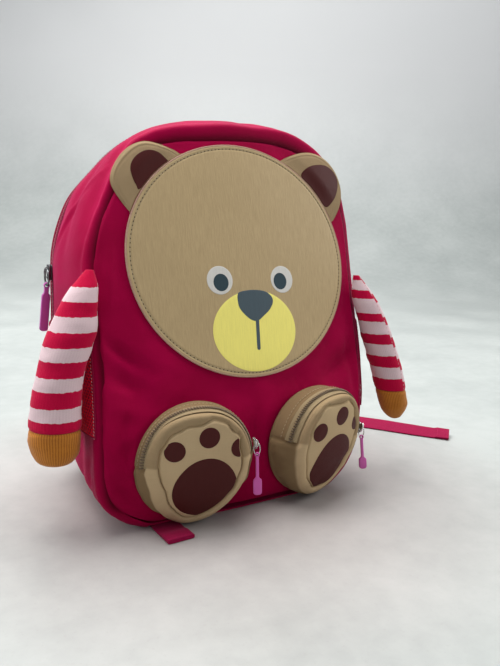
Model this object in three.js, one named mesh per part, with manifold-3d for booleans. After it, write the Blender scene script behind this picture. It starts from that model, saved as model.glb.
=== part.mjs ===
// Child's backpack with a bear face: hollow cloth body with a leaning front panel,
// a wide gusset with a zip over the top, two zipped paw pockets, mesh side pockets,
// stuffed arms and padded shoulder straps.
// Millimetres, +Z up. X runs to the right of a viewer who faces the front, +Y to the back.
// Tables are in the face frame: x = 0 and y = 0 at the middle of the face disc, z = 0 on the floor.
// The last group moves the face frame so that the origin is at the middle of the base.

import * as THREE from "three";
import { mergeVertices } from "three/addons/utils/BufferGeometryUtils.js";
import Module from "manifold-3d";

const wasm = await Module();
wasm.setup();

// ---------- sizes ----------
const FACE_TO_BASE = { x: 7, y: -40, z: 0 };   // shift of the face frame
const GAP = 0.3;                // clearance between neighbouring pieces
const BACK_Y = 104;             // plane of the back seam
const CLOTH = 2.5;              // wall of the body cloth
const FRONT_EDGE = CLOTH + GAP; // the gusset starts this far behind the front surface
const ZIP = { from: 84, to: 94, uStart: 25.7, uEnd: 48.2 };  // y range of the tape, stations it covers
const DISC = { x: -1.2, z: 186, lean: 15.05, rx: 94.5, ry: 88, off: 0.35, thick: 1.4 };

// front surface: depth of the centre line and sideways curvature at each height
const FRONT_PROFILE = [
  { z: -5, y: -22, k: 0.0002 }, { z: 0, y: -23.5, k: 0.0002 }, { z: 12, y: -25.8, k: 0.0003 },
  { z: 30, y: -27.6, k: 0.0004 }, { z: 50, y: -28.4, k: 0.0005 }, { z: 75, y: -27, k: 0.0008 },
  { z: 102, y: -21, k: 0.0011 }, { z: 130, y: -14.4, k: 0.0013 }, { z: 160, y: -7.1, k: 0.0013 },
  { z: 187.4, y: 0, k: 0.0013 }, { z: 215, y: 7.7, k: 0.0013 }, { z: 245, y: 16.5, k: 0.0013 },
  { z: 272, y: 25, k: 0.0013 }, { z: 300, y: 34, k: 0.0012 },
];

// closed loop round the body, from the top centre down the right side, along the base and up the left:
// fx, fz front seam; bx, bz back seam; g outward bulge between them; p how early the bulge starts
const BODY_STATIONS = [
  { fx: 0, fz: 277, bx: 0, bz: 287, g: 12, p: 0.8 }, { fx: 28, fz: 278, bx: 30, bz: 287, g: 12.5, p: 0.8 },
  { fx: 52, fz: 275.5, bx: 56, bz: 283, g: 14.5, p: 0.8 }, { fx: 74, fz: 267, bx: 80, bz: 272, g: 15.5, p: 0.8 },
  { fx: 90, fz: 256, bx: 97, bz: 256, g: 13.5, p: 0.8 }, { fx: 100, fz: 240.5, bx: 107, bz: 238, g: 10.5, p: 0.8 },
  { fx: 104.5, fz: 220, bx: 111, bz: 215, g: 9, p: 0.8 }, { fx: 105, fz: 195, bx: 113, bz: 190, g: 8, p: 0.8 },
  { fx: 105, fz: 168, bx: 113.5, bz: 164, g: 8, p: 0.8 }, { fx: 105.5, fz: 140, bx: 114, bz: 138, g: 7.5, p: 0.8 },
  { fx: 106, fz: 112, bx: 114, bz: 110, g: 7, p: 0.8 }, { fx: 104, fz: 85, bx: 112.5, bz: 85, g: 6, p: 0.8 },
  { fx: 101, fz: 60, bx: 109, bz: 60, g: 5, p: 0.75 }, { fx: 98, fz: 38, bx: 104, bz: 38, g: 5, p: 0.7 },
  { fx: 91, fz: 21, bx: 95, bz: 22, g: 6, p: 0.6 }, { fx: 80, fz: 10.5, bx: 82, bz: 11, g: 7, p: 0.5 },
  { fx: 63, fz: 6, bx: 62, bz: 5.5, g: 12, p: 0.42 }, { fx: 32, fz: 5, bx: 32, bz: 4.5, g: 14, p: 0.4 },
  { fx: 0, fz: 5, bx: 0, bz: 4.5, g: 14, p: 0.4 }, { fx: -34, fz: 5, bx: -34, bz: 4.5, g: 14, p: 0.4 },
  { fx: -66, fz: 4.5, bx: -64, bz: 4.5, g: 13, p: 0.4 }, { fx: -86, fz: 5.5, bx: -80, bz: 7, g: 8, p: 0.45 },
  { fx: -103, fz: 14, bx: -93, bz: 15, g: 8, p: 0.5 }, { fx: -116.5, fz: 26, bx: -105, bz: 28, g: 7, p: 0.55 },
  { fx: -121.5, fz: 42, bx: -112, bz: 44, g: 6, p: 0.65 }, { fx: -122, fz: 64, bx: -116, bz: 64, g: 6.5, p: 0.75 },
  { fx: -120.5, fz: 88, bx: -118, bz: 88, g: 7.5, p: 0.8 }, { fx: -118.8, fz: 112, bx: -118.5, bz: 112, g: 8.5, p: 0.8 },
  { fx: -118.5, fz: 138, bx: -118.5, bz: 138, g: 8, p: 0.8 }, { fx: -118.8, fz: 164, bx: -118.5, bz: 164, g: 7.8, p: 0.8 },
  { fx: -117.3, fz: 188, bx: -117.5, bz: 187, g: 7.6, p: 0.78 }, { fx: -110.5, fz: 211, bx: -112, bz: 209, g: 7.4, p: 0.75 },
  { fx: -101.5, fz: 229, bx: -103.5, bz: 228, g: 7.5, p: 0.72 }, { fx: -92, fz: 247, bx: -90, bz: 244, g: 7, p: 0.7 },
  { fx: -77, fz: 262, bx: -72, bz: 262, g: 7.5, p: 0.72 }, { fx: -54, fz: 270.8, bx: -50, bz: 275, g: 9.5, p: 0.75 },
  { fx: -27, fz: 274.5, bx: -26, bz: 283, g: 11.5, p: 0.8 },
];

// soft folds of the gusset: from (u0, y0) to (u1, y1), width in mm, depth inward in mm
const GUSSET_FOLDS = [
  { u0: 34.2, y0: 40, u1: 30.6, y1: 24, width: 5, depth: 2.6 },
  { u0: 33.6, y0: 66, u1: 30.2, y1: 52, width: 6, depth: 1.6 },
];
// soft folds of the front panel: from (x0, z0) to (x1, z1)
const FRONT_FOLDS = [
  { x0: -113, z0: 112, x1: -86, z1: 88, width: 9, depth: 2.4 },
  { x0: -110, z0: 80, x1: -98, z1: 74, width: 8, depth: 1.5 },
];

// ear outlines, x sideways and v up along the leaning face; the last side lies along the disc
const EARS = {
  left: [{ x: -45, v: 75 }, { x: -52, v: 79.5 }, { x: -60, v: 82.3 }, { x: -68, v: 84 }, { x: -75.5, v: 84 },
    { x: -83, v: 81 }, { x: -90, v: 75.5 }, { x: -96, v: 68 }, { x: -100.3, v: 59 }, { x: -100.8, v: 52 },
    { x: -98, v: 45 }, { x: -93.5, v: 38 }, { x: -89, v: 32 }],
  right: [{ x: 38, v: 79 }, { x: 46, v: 83 }, { x: 56, v: 87 }, { x: 66, v: 89.5 }, { x: 76, v: 90 },
    { x: 86, v: 87.5 }, { x: 95, v: 81.5 }, { x: 101, v: 73 }, { x: 104, v: 63 }, { x: 103, v: 54 },
    { x: 99.5, v: 45.5 }, { x: 95, v: 39 }, { x: 89.5, v: 33 }],
};

// paw pockets: base rim on the front panel, and the face frame that the rim is joined to
const PAW = {
  base: { z: 46.8, rx: 43.6, rz: 42 }, baseX: { left: -57, right: 48.5 },
  face: { x: 56.8, y: -48.8, z: 49.75, turn: 13.6, tilt: -10.7, dome: 0.0042, rim: 4.6 },
  wall: 2, side: 2.4, steps: 28,
};
// rim of the paw's face, a across and b up from the face's middle; sag is how much lower the left one hangs
const PAW_RIM = [
  { a: 0, b: 36.5 }, { a: 11.5, b: 33.5 }, { a: 21, b: 25.5 }, { a: 27.2, b: 14 }, { a: 29.8, b: 1 }, { a: 28.8, b: -14 },
  { a: 24, b: -30 }, { a: 13.5, b: -42 }, { a: -1, b: -46, sag: 1.5 }, { a: -16, b: -43, sag: 4 }, { a: -28, b: -32, sag: 3 }, { a: -35, b: -18 },
  { a: -38, b: -2 }, { a: -36, b: 14 }, { a: -29, b: 28 }, { a: -16, b: 35 },
];
const PAW_ZIP = { from: 0.5, to: 0.82, startDeg: { left: 177, right: 168 }, endDeg: { left: 12, right: 1 }, lift: 0.35, thick: 1.3, steps: 18 };

// stuffed arms: centre line, half width and half depth of the section
const ARMS = {
  left: [
    { x: -121.8, y: 1, z: 179, w: 2.5, d: 1.6 }, { x: -125.4, y: -1, z: 169, w: 8.2, d: 5.5 }, { x: -129, y: -1, z: 159, w: 11.6, d: 8.5 },
    { x: -133, y: -2, z: 143, w: 15.2, d: 11.5 }, { x: -137.5, y: -2, z: 129.5, w: 16.2, d: 12.5 }, { x: -141.5, y: -2, z: 116, w: 15.2, d: 12.8 },
    { x: -144, y: -2, z: 103, w: 15.8, d: 13.2 }, { x: -145.4, y: -2, z: 90, w: 16.6, d: 13.8 }, { x: -146.2, y: -2, z: 77, w: 17.2, d: 14 },
    { x: -146.4, y: -2, z: 66, w: 16.8, d: 14 }, { x: -146.2, y: -2, z: 57.5, w: 13.4, d: 11.5 }, { x: -146, y: -2, z: 51.5, w: 7.5, d: 6.5 },
    { x: -146, y: -2, z: 49.5, w: 0, d: 0 }],
  right: [
    { x: 104.5, y: -4, z: 174, w: 2.5, d: 1.6 }, { x: 107.8, y: -7, z: 163, w: 7.6, d: 4.5 }, { x: 112, y: -9, z: 152.6, w: 10.6, d: 7 },
    { x: 117.8, y: -10.5, z: 139.8, w: 12.2, d: 9.5 }, { x: 124.8, y: -12, z: 124, w: 13.2, d: 11 }, { x: 132, y: -13, z: 107.3, w: 13.8, d: 12 },
    { x: 139, y: -14, z: 91, w: 13.8, d: 12.3 }, { x: 143.8, y: -15, z: 75, w: 13.8, d: 12.5 }, { x: 146.6, y: -16, z: 64, w: 13.2, d: 12 },
    { x: 148.6, y: -16, z: 55, w: 10.8, d: 9.5 }, { x: 150, y: -16, z: 48.5, w: 5.6, d: 5 }, { x: 150.6, y: -16, z: 46, w: 0, d: 0 }],
};
const HAND_TOP = { left: 75.5, right: 74.5 };   // height where the sleeve meets the hand

// mesh side pockets: stations and depth range that they cover, and how far the mouth stands off
const MESH = { left: { u0: 25.25, u1: 27.9 }, right: { u0: 11.75, u1: 9.15 }, y0: 2, yBack: 80, wall: 1.2, mouth: 8, edge: 0.35 };

// padded shoulder straps: centre line with half width and thickness; the end is a band looped on the buckle
const STRAP = [
  { x: 40, y: 114.6, z: 242, w: 20, t: 3.5 }, { x: 41, y: 118.5, z: 250, w: 20, t: 5 }, { x: 43, y: 127, z: 248.5, w: 20, t: 7 },
  { x: 48, y: 138, z: 233, w: 20.5, t: 8 }, { x: 55, y: 146, z: 208, w: 20.5, t: 8 }, { x: 61.5, y: 149.5, z: 180, w: 20.5, t: 8 },
  { x: 66, y: 148.5, z: 153, w: 20, t: 8 }, { x: 69.5, y: 144, z: 132, w: 18, t: 7 }, { x: 71, y: 139.6, z: 117, w: 13, t: 3.5 },
  { x: 71.7, y: 137.6, z: 108, w: 10, t: 1.5 }, { x: 72, y: 136.9, z: 101, w: 10, t: 1.5 }, { x: 72, y: 136.6, z: 96.4, w: 10, t: 1.5 },
  { x: 72, y: 134.6, z: 94.7, w: 10, t: 1.5 }, { x: 72, y: 132.6, z: 94.8, w: 10, t: 1.5 }, { x: 72, y: 131.1, z: 97.2, w: 10, t: 1.5 },
  { x: 72, y: 131.1, z: 102, w: 10, t: 1.5 }, { x: 72, y: 131.9, z: 107, w: 10, t: 1.5 },
];
const BUCKLE = { x: 72, y: 134, z: 88, wide: 29, high: 24, thick: 3.2, bar: 3.2 };

// webbing from the body's lower corner, through the buckle, to its free end: centre, and the way across the band
const WEB = { half: 10, thick: 1.5 };
const WEB_START = [
  { x: 88, y: 110.6, z: 22, sx: 1, sy: 0, sz: 0 }, { x: 85.5, y: 112.8, z: 31, sx: 1, sy: 0, sz: 0 }, { x: 80, y: 119.5, z: 50, sx: 1, sy: 0, sz: 0 },
  { x: 75, y: 126, z: 68, sx: 1, sy: 0, sz: 0 }, { x: 72.2, y: 128.7, z: 80, sx: 1, sy: 0, sz: 0 }, { x: 72, y: 128.9, z: 86, sx: 1, sy: 0, sz: 0 },
  { x: 72, y: 130, z: 90, sx: 1, sy: 0, sz: 0 }, { x: 72, y: 132, z: 91.4, sx: 1, sy: 0, sz: 0 }, { x: 72, y: 134, z: 91.6, sx: 1, sy: 0, sz: 0 },
  { x: 72, y: 136, z: 91.1, sx: 1, sy: 0, sz: 0 }, { x: 72, y: 137.2, z: 89.3, sx: 1, sy: 0, sz: 0 }, { x: 72, y: 137.2, z: 86.8, sx: 1, sy: 0, sz: 0 },
  { x: 72, y: 136, z: 84.8, sx: 1, sy: 0, sz: 0 }, { x: 72, y: 134, z: 84.3, sx: 1, sy: 0, sz: 0 }, { x: 72, y: 132.1, z: 83.5, sx: 1, sy: 0, sz: 0 },
  { x: 72, y: 131.3, z: 81.4, sx: 1, sy: 0, sz: 0 }, { x: 72, y: 131.3, z: 77.5, sx: 1, sy: 0, sz: 0 }, { x: 72, y: 132.4, z: 71, sx: 1, sy: 0, sz: 0 },
  { x: 72.5, y: 135.4, z: 58, sx: 1, sy: 0, sz: 0 },
];
const WEB_TAIL = {
  left: [
    { x: 73, y: 138, z: 42, sx: 1, sy: 0, sz: 0 }, { x: 73.4, y: 138.5, z: 25, sx: 1, sy: 0, sz: 0 }, { x: 73.8, y: 135, z: 9, sx: 1, sy: 0, sz: 0 },
    { x: 74.2, y: 127, z: 2.2, sx: 1, sy: 0, sz: 0 }, { x: 74.6, y: 116, z: 0.85, sx: 1, sy: 0, sz: 0 }, { x: 75, y: 90, z: 0.85, sx: 1, sy: 0, sz: 0 },
    { x: 75.3, y: 50, z: 0.85, sx: 1, sy: 0, sz: 0 }, { x: 75.6, y: 10, z: 0.85, sx: 1, sy: 0, sz: 0 }, { x: 76.2, y: -26, z: 0.85, sx: 1, sy: 0.12, sz: 0 },
    { x: 75.8, y: -50, z: 1.1, sx: 1, sy: 0.12, sz: 0 }],
  right: [
    { x: 73.4, y: 139.5, z: 42, sx: 1, sy: 0, sz: 0 }, { x: 76, y: 143, z: 25, sx: 0.96, sy: 0.25, sz: 0 }, { x: 84, y: 147, z: 11, sx: 0.8, sy: 0.6, sz: 0.05 },
    { x: 100, y: 149, z: 4.5, sx: 0.45, sy: 0.88, sz: 0.12 }, { x: 128, y: 144, z: 2.8, sx: 0.35, sy: 0.92, sz: 0.16 },
    { x: 165, y: 126, z: 3.3, sx: 0.5, sy: 0.82, sz: 0.24 }, { x: 199, y: 99, z: 3.6, sx: 0.62, sy: 0.74, sz: 0.26 },
    { x: 222, y: 72, z: 3.6, sx: 0.72, sy: 0.64, sz: 0.27 }, { x: 243, y: 43, z: 3.4, sx: 0.78, sy: 0.58, sz: 0.25 },
    { x: 266, y: 15, z: 3, sx: 0.8, sy: 0.56, sz: 0.2 }],
};
// grab loop on the top of the back panel
const GRAB = [
  { x: -16, y: 114, z: 260, sx: 1, sy: 0, sz: 0 }, { x: -16, y: 114.6, z: 266, sx: 1, sy: 0, sz: 0.1 }, { x: -15.4, y: 118, z: 274, sx: 0.85, sy: 0, sz: 0.5 },
  { x: -11, y: 122, z: 280, sx: 0.45, sy: 0, sz: 0.9 }, { x: 0, y: 123.5, z: 282.5, sx: 0, sy: 0, sz: 1 }, { x: 11, y: 122, z: 280, sx: -0.45, sy: 0, sz: 0.9 },
  { x: 15.4, y: 118, z: 274, sx: -0.85, sy: 0, sz: 0.5 }, { x: 16, y: 114.6, z: 266, sx: -1, sy: 0, sz: 0.1 }, { x: 16, y: 114, z: 260, sx: -1, sy: 0, sz: 0 },
];

// main slider on the left side of the zip, its ring and its pull
const MAIN_SLIDER = { x: -125.1, y: 89, z: 170, wide: 8.4, long: 12, deep: 2.6, bridge: 3 };
const MAIN_RING = { x: -127.2, y: 89, z: 166, r: 6, tube: 0.75 };
const MAIN_PULL = { top: { x: -127.2, y: 89, z: 162.3 }, end: { x: -130, y: 91, z: 124 }, wide: 6.4, neck: 4.6, stem: 1.7, drop: 8, deep: 2.8 };
// paw sliders sit on the zip at one end; the pulls hang from them
const PAW_SLIDER = { deg: { left: 17, right: 6 }, w: 0.62, lift: { left: 3.5, right: 3.75 }, wide: 5.5, long: 8.5, deep: 1.8, bridge: 1.6 };
const PAW_PULL = {
  left: { top: { x: -17.6, y: -49.4, z: 53.6 }, end: { x: -18, y: -53, z: 23 }, facing: [-0.4, -0.92, 0] },
  right: { top: { x: 92.6, y: -37, z: 46 }, end: { x: 93.4, y: -41, z: 18 }, facing: [-0.4, -0.92, 0] }, wide: 6.2, neck: 3.6, stem: 1.1, drop: 18, deep: 2.2,
};

// ---------- small maths ----------
const mirror = (side) => (side === "left" ? -1 : 1);
const rad = (d) => (d * Math.PI) / 180;
const mod = (i, n) => ((i % n) + n) % n;
const hermite = (a, b, ma, mb, t) => {
  const t2 = t * t, t3 = t2 * t;
  return (2 * t3 - 3 * t2 + 1) * a + (t3 - 2 * t2 + t) * ma + (-2 * t3 + 3 * t2) * b + (t3 - t2) * mb;
};
// value of a named column of a table whose rows are placed by the column `by`
function column(table, by, name, at) {
  const n = table.length;
  const x = Math.min(Math.max(at, table[0][by]), table[n - 1][by]);
  let i = 0;
  while (i < n - 2 && table[i + 1][by] < x) i++;
  const slope = (k) => {
    const a = table[Math.max(k - 1, 0)], b = table[Math.min(k + 1, n - 1)];
    return (b[name] - a[name]) / (b[by] - a[by]);
  };
  const h = table[i + 1][by] - table[i][by];
  return hermite(table[i][name], table[i + 1][name], slope(i) * h, slope(i + 1) * h, (x - table[i][by]) / h);
}
// value of a named column along a closed loop of rows
function round(table, name, u) {
  const n = table.length, i = Math.floor(u), t = u - i;
  const y = [-1, 0, 1, 2].map((k) => table[mod(i + k, n)][name]);
  return hermite(y[1], y[2], (y[2] - y[0]) / 2, (y[3] - y[1]) / 2, t);
}
// value of a named column along an open run of rows
function along(table, name, s) {
  const n = table.length, i = Math.min(Math.max(Math.floor(s), 0), n - 2), t = s - i;
  const y = [-1, 0, 1, 2].map((k) => table[Math.min(Math.max(i + k, 0), n - 1)][name]);
  return hermite(y[1], y[2], (y[2] - y[0]) / 2, (y[3] - y[1]) / 2, t);
}
const steps = (a, b, n) => Array.from({ length: n + 1 }, (_, i) => a + ((b - a) * i) / n);
function foldDepth(folds, p, q, keys, scale) {
  let d = 0;
  for (const f of folds) {
    const ax = f[keys[0]] * scale, ay = f[keys[1]], bx = f[keys[2]] * scale, by = f[keys[3]];
    const dx = bx - ax, dy = by - ay, px = p * scale;
    const t = Math.min(1, Math.max(0, ((px - ax) * dx + (q - ay) * dy) / (dx * dx + dy * dy)));
    const r = Math.hypot(px - ax - t * dx, q - ay - t * dy) / f.width;
    d += f.depth * Math.exp(-r * r) * Math.sin(Math.PI * (0.12 + 0.76 * t));
  }
  return d;
}

// ---------- mesh builders ----------
function solid(points, faces) {
  const seen = new Map(), verts = [], map = [];
  for (const p of points) {
    const key = p.map((c) => Math.round(c * 2000)).join(",");
    if (!seen.has(key)) { seen.set(key, verts.length / 3); verts.push(p[0], p[1], p[2]); }
    map.push(seen.get(key));
  }
  let index = [];
  for (const f of faces) {
    const [a, b, c] = f.map((i) => map[i]);
    if (a !== b && b !== c && c !== a) index.push(a, b, c);
  }
  let vol = 0;
  for (let i = 0; i < index.length; i += 3) {
    const [a, b, c] = [0, 1, 2].map((k) => new THREE.Vector3().fromArray(verts, index[i + k] * 3));
    vol += a.dot(b.cross(c));
  }
  if (vol < 0) for (let i = 0; i < index.length; i += 3) [index[i], index[i + 1]] = [index[i + 1], index[i]];
  const g = new THREE.BufferGeometry();
  g.setAttribute("position", new THREE.Float32BufferAttribute(verts, 3));
  g.setIndex(index);
  return g;
}
// a wall between an outer grid and an inner grid of the same size: rows by columns.
// closed: columns join end to end. pole: the first row is one point.
function wall(outer, inner, { closed = false, pole = false } = {}) {
  const R = outer.length, C = outer[0].length, pts = [], faces = [];
  for (const grid of [outer, inner]) for (const row of grid) for (const p of row) pts.push(p);
  const at = (k, r, c) => k * R * C + r * C + mod(c, C);
  const quad = (a, b, c, d) => { faces.push([a, b, c], [a, c, d]); };
  const cols = closed ? C : C - 1;
  for (let r = 0; r < R - 1; r++) for (let c = 0; c < cols; c++) {
    quad(at(0, r, c), at(0, r, c + 1), at(0, r + 1, c + 1), at(0, r + 1, c));
    quad(at(1, r, c), at(1, r + 1, c), at(1, r + 1, c + 1), at(1, r, c + 1));
  }
  for (let c = 0; c < cols; c++) {
    quad(at(0, R - 1, c), at(0, R - 1, c + 1), at(1, R - 1, c + 1), at(1, R - 1, c));
    if (!pole) quad(at(0, 0, c + 1), at(0, 0, c), at(1, 0, c), at(1, 0, c + 1));
  }
  if (!closed) for (let r = 0; r < R - 1; r++) {
    quad(at(0, r, 0), at(0, r + 1, 0), at(1, r + 1, 0), at(1, r, 0));
    quad(at(0, r + 1, C - 1), at(0, r, C - 1), at(1, r, C - 1), at(1, r + 1, C - 1));
  }
  return solid(pts, faces);
}
// a closed skin through rings of equal count; each end ring is capped by a fan from its middle
function skin(rings) {
  const C = rings[0].length, pts = rings.flat(), faces = [];
  for (let r = 0; r < rings.length - 1; r++) for (let c = 0; c < C; c++) {
    const a = r * C + c, b = r * C + mod(c + 1, C), d = a + C, e = b + C;
    faces.push([a, b, e], [a, e, d]);
  }
  for (const [r, flip] of [[0, true], [rings.length - 1, false]]) {
    const ring = rings[r], m = [0, 1, 2].map((k) => ring.reduce((s, p) => s + p[k], 0) / C);
    const spread = Math.max(...ring.map((p) => Math.hypot(p[0] - m[0], p[1] - m[1], p[2] - m[2])));
    if (spread < 0.01) continue;
    pts.push(m);
    for (let c = 0; c < C; c++) {
      const a = r * C + c, b = r * C + mod(c + 1, C);
      faces.push(flip ? [b, a, pts.length - 1] : [a, b, pts.length - 1]);
    }
  }
  return solid(pts, faces);
}
// a flat band along a run of {p, n, w, t}: p centre, n direction of the flat side, w half width, t thickness
function band(run) {
  const across = run.map((s, i) => {
    const a = run[Math.max(i - 1, 0)].p, b = run[Math.min(i + 1, run.length - 1)].p;
    const tan = new THREE.Vector3(b[0] - a[0], b[1] - a[1], b[2] - a[2]).normalize();
    const side = s.side ? new THREE.Vector3(...s.side) : new THREE.Vector3().crossVectors(tan, new THREE.Vector3(...s.n));
    return { tan, side: side.normalize() };
  });
  const grid = (sign) => run.map((s, i) => {
    const n = new THREE.Vector3().crossVectors(across[i].side, across[i].tan).normalize();
    return steps(-1, 1, s.cols ?? 1).map((v) => {
      const edge = s.round ? 1 - 0.7 * Math.abs(v) ** 6 : 1;
      return [0, 1, 2].map((k) => s.p[k] + across[i].side.getComponent(k) * v * s.w + n.getComponent(k) * sign * (s.t / 2) * edge);
    });
  });
  return wall(grid(1), grid(-1));
}
function toManifold(g) {
  const clean = g.clone();
  clean.deleteAttribute("normal"); clean.deleteAttribute("uv");
  const m = mergeVertices(clean, 1e-4);
  return new wasm.Manifold(new wasm.Mesh({
    numProp: 3, vertProperties: new Float32Array(m.attributes.position.array), triVerts: new Uint32Array(m.index.array),
  }));
}
function fromManifold(m) {
  const mesh = m.getMesh(), g = new THREE.BufferGeometry();
  g.setAttribute("position", new THREE.BufferAttribute(new Float32Array(mesh.vertProperties), 3));
  g.setIndex(new THREE.BufferAttribute(new Uint32Array(mesh.triVerts), 1));
  return g;
}

// ---------- body surfaces ----------
const frontY = (x, z) => column(FRONT_PROFILE, "z", "y", z) + 0.5 * column(FRONT_PROFILE, "z", "k", z) * x * x;
const frontFold = (x, z) => foldDepth(FRONT_FOLDS, x, z, ["x0", "z0", "x1", "z1"], 1);
const seam = (u) => ({ x: round(BODY_STATIONS, "fx", u), z: round(BODY_STATIONS, "fz", u) });
function gussetFrame(u, y) {
  const [fx, fz, bx, bz, g, p] = ["fx", "fz", "bx", "bz", "g", "p"].map((k) => round(BODY_STATIONS, k, u));
  const yf = frontY(fx, fz), t = Math.min(1, Math.max(0, (y - yf) / (BACK_Y - yf)));
  const mid = (v) => ({
    x: (1 - t) * round(BODY_STATIONS, "fx", v) + t * round(BODY_STATIONS, "bx", v),
    z: (1 - t) * round(BODY_STATIONS, "fz", v) + t * round(BODY_STATIONS, "bz", v),
  });
  const a = mid(u - 0.05), b = mid(u + 0.05), len = Math.hypot(b.x - a.x, b.z - a.z);
  const n = { x: -(b.z - a.z) / len, z: (b.x - a.x) / len };
  const bulge = g * (1 - Math.abs(2 * t ** p - 1) ** 2.8);
  const fold = foldDepth(GUSSET_FOLDS, u, y, ["u0", "y0", "u1", "y1"], 20);
  const s = bulge - fold;
  return { x: (1 - t) * fx + t * bx + n.x * s, z: Math.max(0, (1 - t) * fz + t * bz + n.z * s), n };
}
function gussetPoint(u, y, out = 0) {
  const f = gussetFrame(u, y);
  return [f.x + f.n.x * out, y, f.z + f.n.z * out];
}
const seamY = (u) => { const s = seam(u); return frontY(s.x, s.z); };

// ---------- body pieces ----------
function frontPanel() {
  const us = steps(0, BODY_STATIONS.length, 52).slice(0, -1), radii = [0, 0.3, 0.55, 0.75, 0.9, 1];
  const mid = { x: -6, z: 140 };
  const grid = (off) => radii.map((r) => us.map((u) => {
    const s = seam(u), x = mid.x + r * (s.x - mid.x), z = mid.z + r * (s.z - mid.z);
    return [x, frontY(x, z) + frontFold(x, z) * (r < 1 ? 1 : 0) + off, z];
  }));
  return wall(grid(0), grid(CLOTH), { closed: true, pole: true });
}
function gussetPiece() {
  const N = BODY_STATIONS.length, e = 0.02;
  const us = [...steps(0, N, 62).slice(0, -1), ZIP.uStart - e, ZIP.uStart + e, mod(ZIP.uEnd, N) - e, mod(ZIP.uEnd, N) + e]
    .filter((u, i, a) => i >= a.length - 4 || Math.min(...a.slice(-4).map((v) => Math.abs(v - u))) > 0.1).sort((a, b) => a - b);
  const inZip = (u) => u > ZIP.uStart || u < mod(ZIP.uEnd, N);
  const rows = [0, 0.04, 0.12, 0.26, 0.45, 0.66, 0.86];
  const column_ = (u, out) => {
    const y0 = seamY(u) + FRONT_EDGE, ys = rows.map((s) => y0 + (77 - y0) * s);
    ys.push(inZip(u) ? 77 : 88, inZip(u) ? ZIP.from : BACK_Y - GAP);
    return ys.map((y) => gussetPoint(u, y, out));
  };
  const flip = (cols) => cols[0].map((_, r) => cols.map((c) => c[r]));
  const ring = wall(flip(us.map((u) => column_(u, 0))), flip(us.map((u) => column_(u, -CLOTH))), { closed: true });
  // shallow channel under the base for the band that lies there
  const channel = new THREE.BoxGeometry(21.4, 240, 4).translate(-75.6, 60, -0.1);
  return fromManifold(toManifold(ring).subtract(toManifold(channel)));
}
const zipStations = (n, gap) => steps(ZIP.uStart + gap, ZIP.uEnd - gap, n).map((u) => mod(u, BODY_STATIONS.length));
function mainZip() {
  const us = zipStations(36, 0.06);
  const profile = [
    { y: ZIP.from + GAP, out: -0.9 }, { y: ZIP.from + 2.6, out: -0.7 }, { y: ZIP.from + 3, out: 0.5 }, { y: ZIP.from + 5, out: 0.9 },
    { y: ZIP.from + 7, out: 0.5 }, { y: ZIP.from + 7.4, out: -0.7 }, { y: ZIP.to - GAP, out: -0.9 }];
  const grid = (inner) => profile.map((s) => us.map((u) => gussetPoint(u, s.y, inner ? -2.3 : s.out)));
  return wall(grid(false), grid(true));
}
function backGusset() {
  const us = zipStations(36, 0.06), ys = [ZIP.to, (ZIP.to + BACK_Y) / 2, BACK_Y - GAP];
  const grid = (out) => ys.map((y) => us.map((u) => gussetPoint(u, y, out)));
  return wall(grid(0), grid(-CLOTH));
}
function backPanel() {
  const us = steps(0, BODY_STATIONS.length, 40).slice(0, -1), radii = [0, 0.4, 0.7, 0.88, 0.96, 1];
  const mid = { x: 0, z: 145 };
  const grid = (outer) => radii.map((r) => us.map((u) => {
    const bx = round(BODY_STATIONS, "bx", u), bz = round(BODY_STATIONS, "bz", u);
    const x = mid.x + r * (bx - mid.x), z = mid.z + r * (bz - mid.z);
    return [x, BACK_Y + (outer ? 3 + 5 * Math.sqrt(1 - r * r) : 0), z];
  }));
  return wall(grid(true), grid(false), { closed: true, pole: true });
}

// ---------- face ----------
const discZ = (v) => DISC.z + v * Math.cos(rad(DISC.lean));
function faceDisc() {
  const th = steps(0, 2 * Math.PI, 44).slice(0, -1), radii = [0, 0.4, 0.72, 0.92, 1];
  const grid = (off) => radii.map((r) => th.map((a) => {
    const x = DISC.x + DISC.rx * r * Math.cos(a), z = discZ(DISC.ry * r * Math.sin(a));
    return [x, frontY(x, z) - off, z];
  }));
  return wall(grid(DISC.off + DISC.thick), grid(DISC.off), { closed: true, pole: true });
}
function ear(side) {
  const edge = EARS[side];
  const ang = (p) => Math.atan2(p.v / DISC.ry, (p.x - DISC.x) / DISC.rx);
  const a0 = ang(edge[0]), a1 = ang(edge[edge.length - 1]);
  const clear = 1 + 0.5 / 90;
  const under = steps(a1, a0, 8).map((a) => ({ x: DISC.x + DISC.rx * clear * Math.cos(a), v: DISC.ry * clear * Math.sin(a) }));
  const loop = [...edge.slice(1, -1), ...under];
  const mid = { x: loop.reduce((s, p) => s + p.x, 0) / loop.length, v: loop.reduce((s, p) => s + p.v, 0) / loop.length };
  const radii = [0, 0.45, 0.8, 1];
  const grid = (front) => radii.map((r) => loop.map((p) => {
    const x = mid.x + r * (p.x - mid.x), z = discZ(mid.v + r * (p.v - mid.v));
    const puff = 1.3 + 2.2 * (1 - r * r) * 1;
    return [x, frontY(x, z) - 0.35 - (front ? puff : 0), z];
  }));
  return wall(grid(true), grid(false), { closed: true, pole: true });
}

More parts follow.
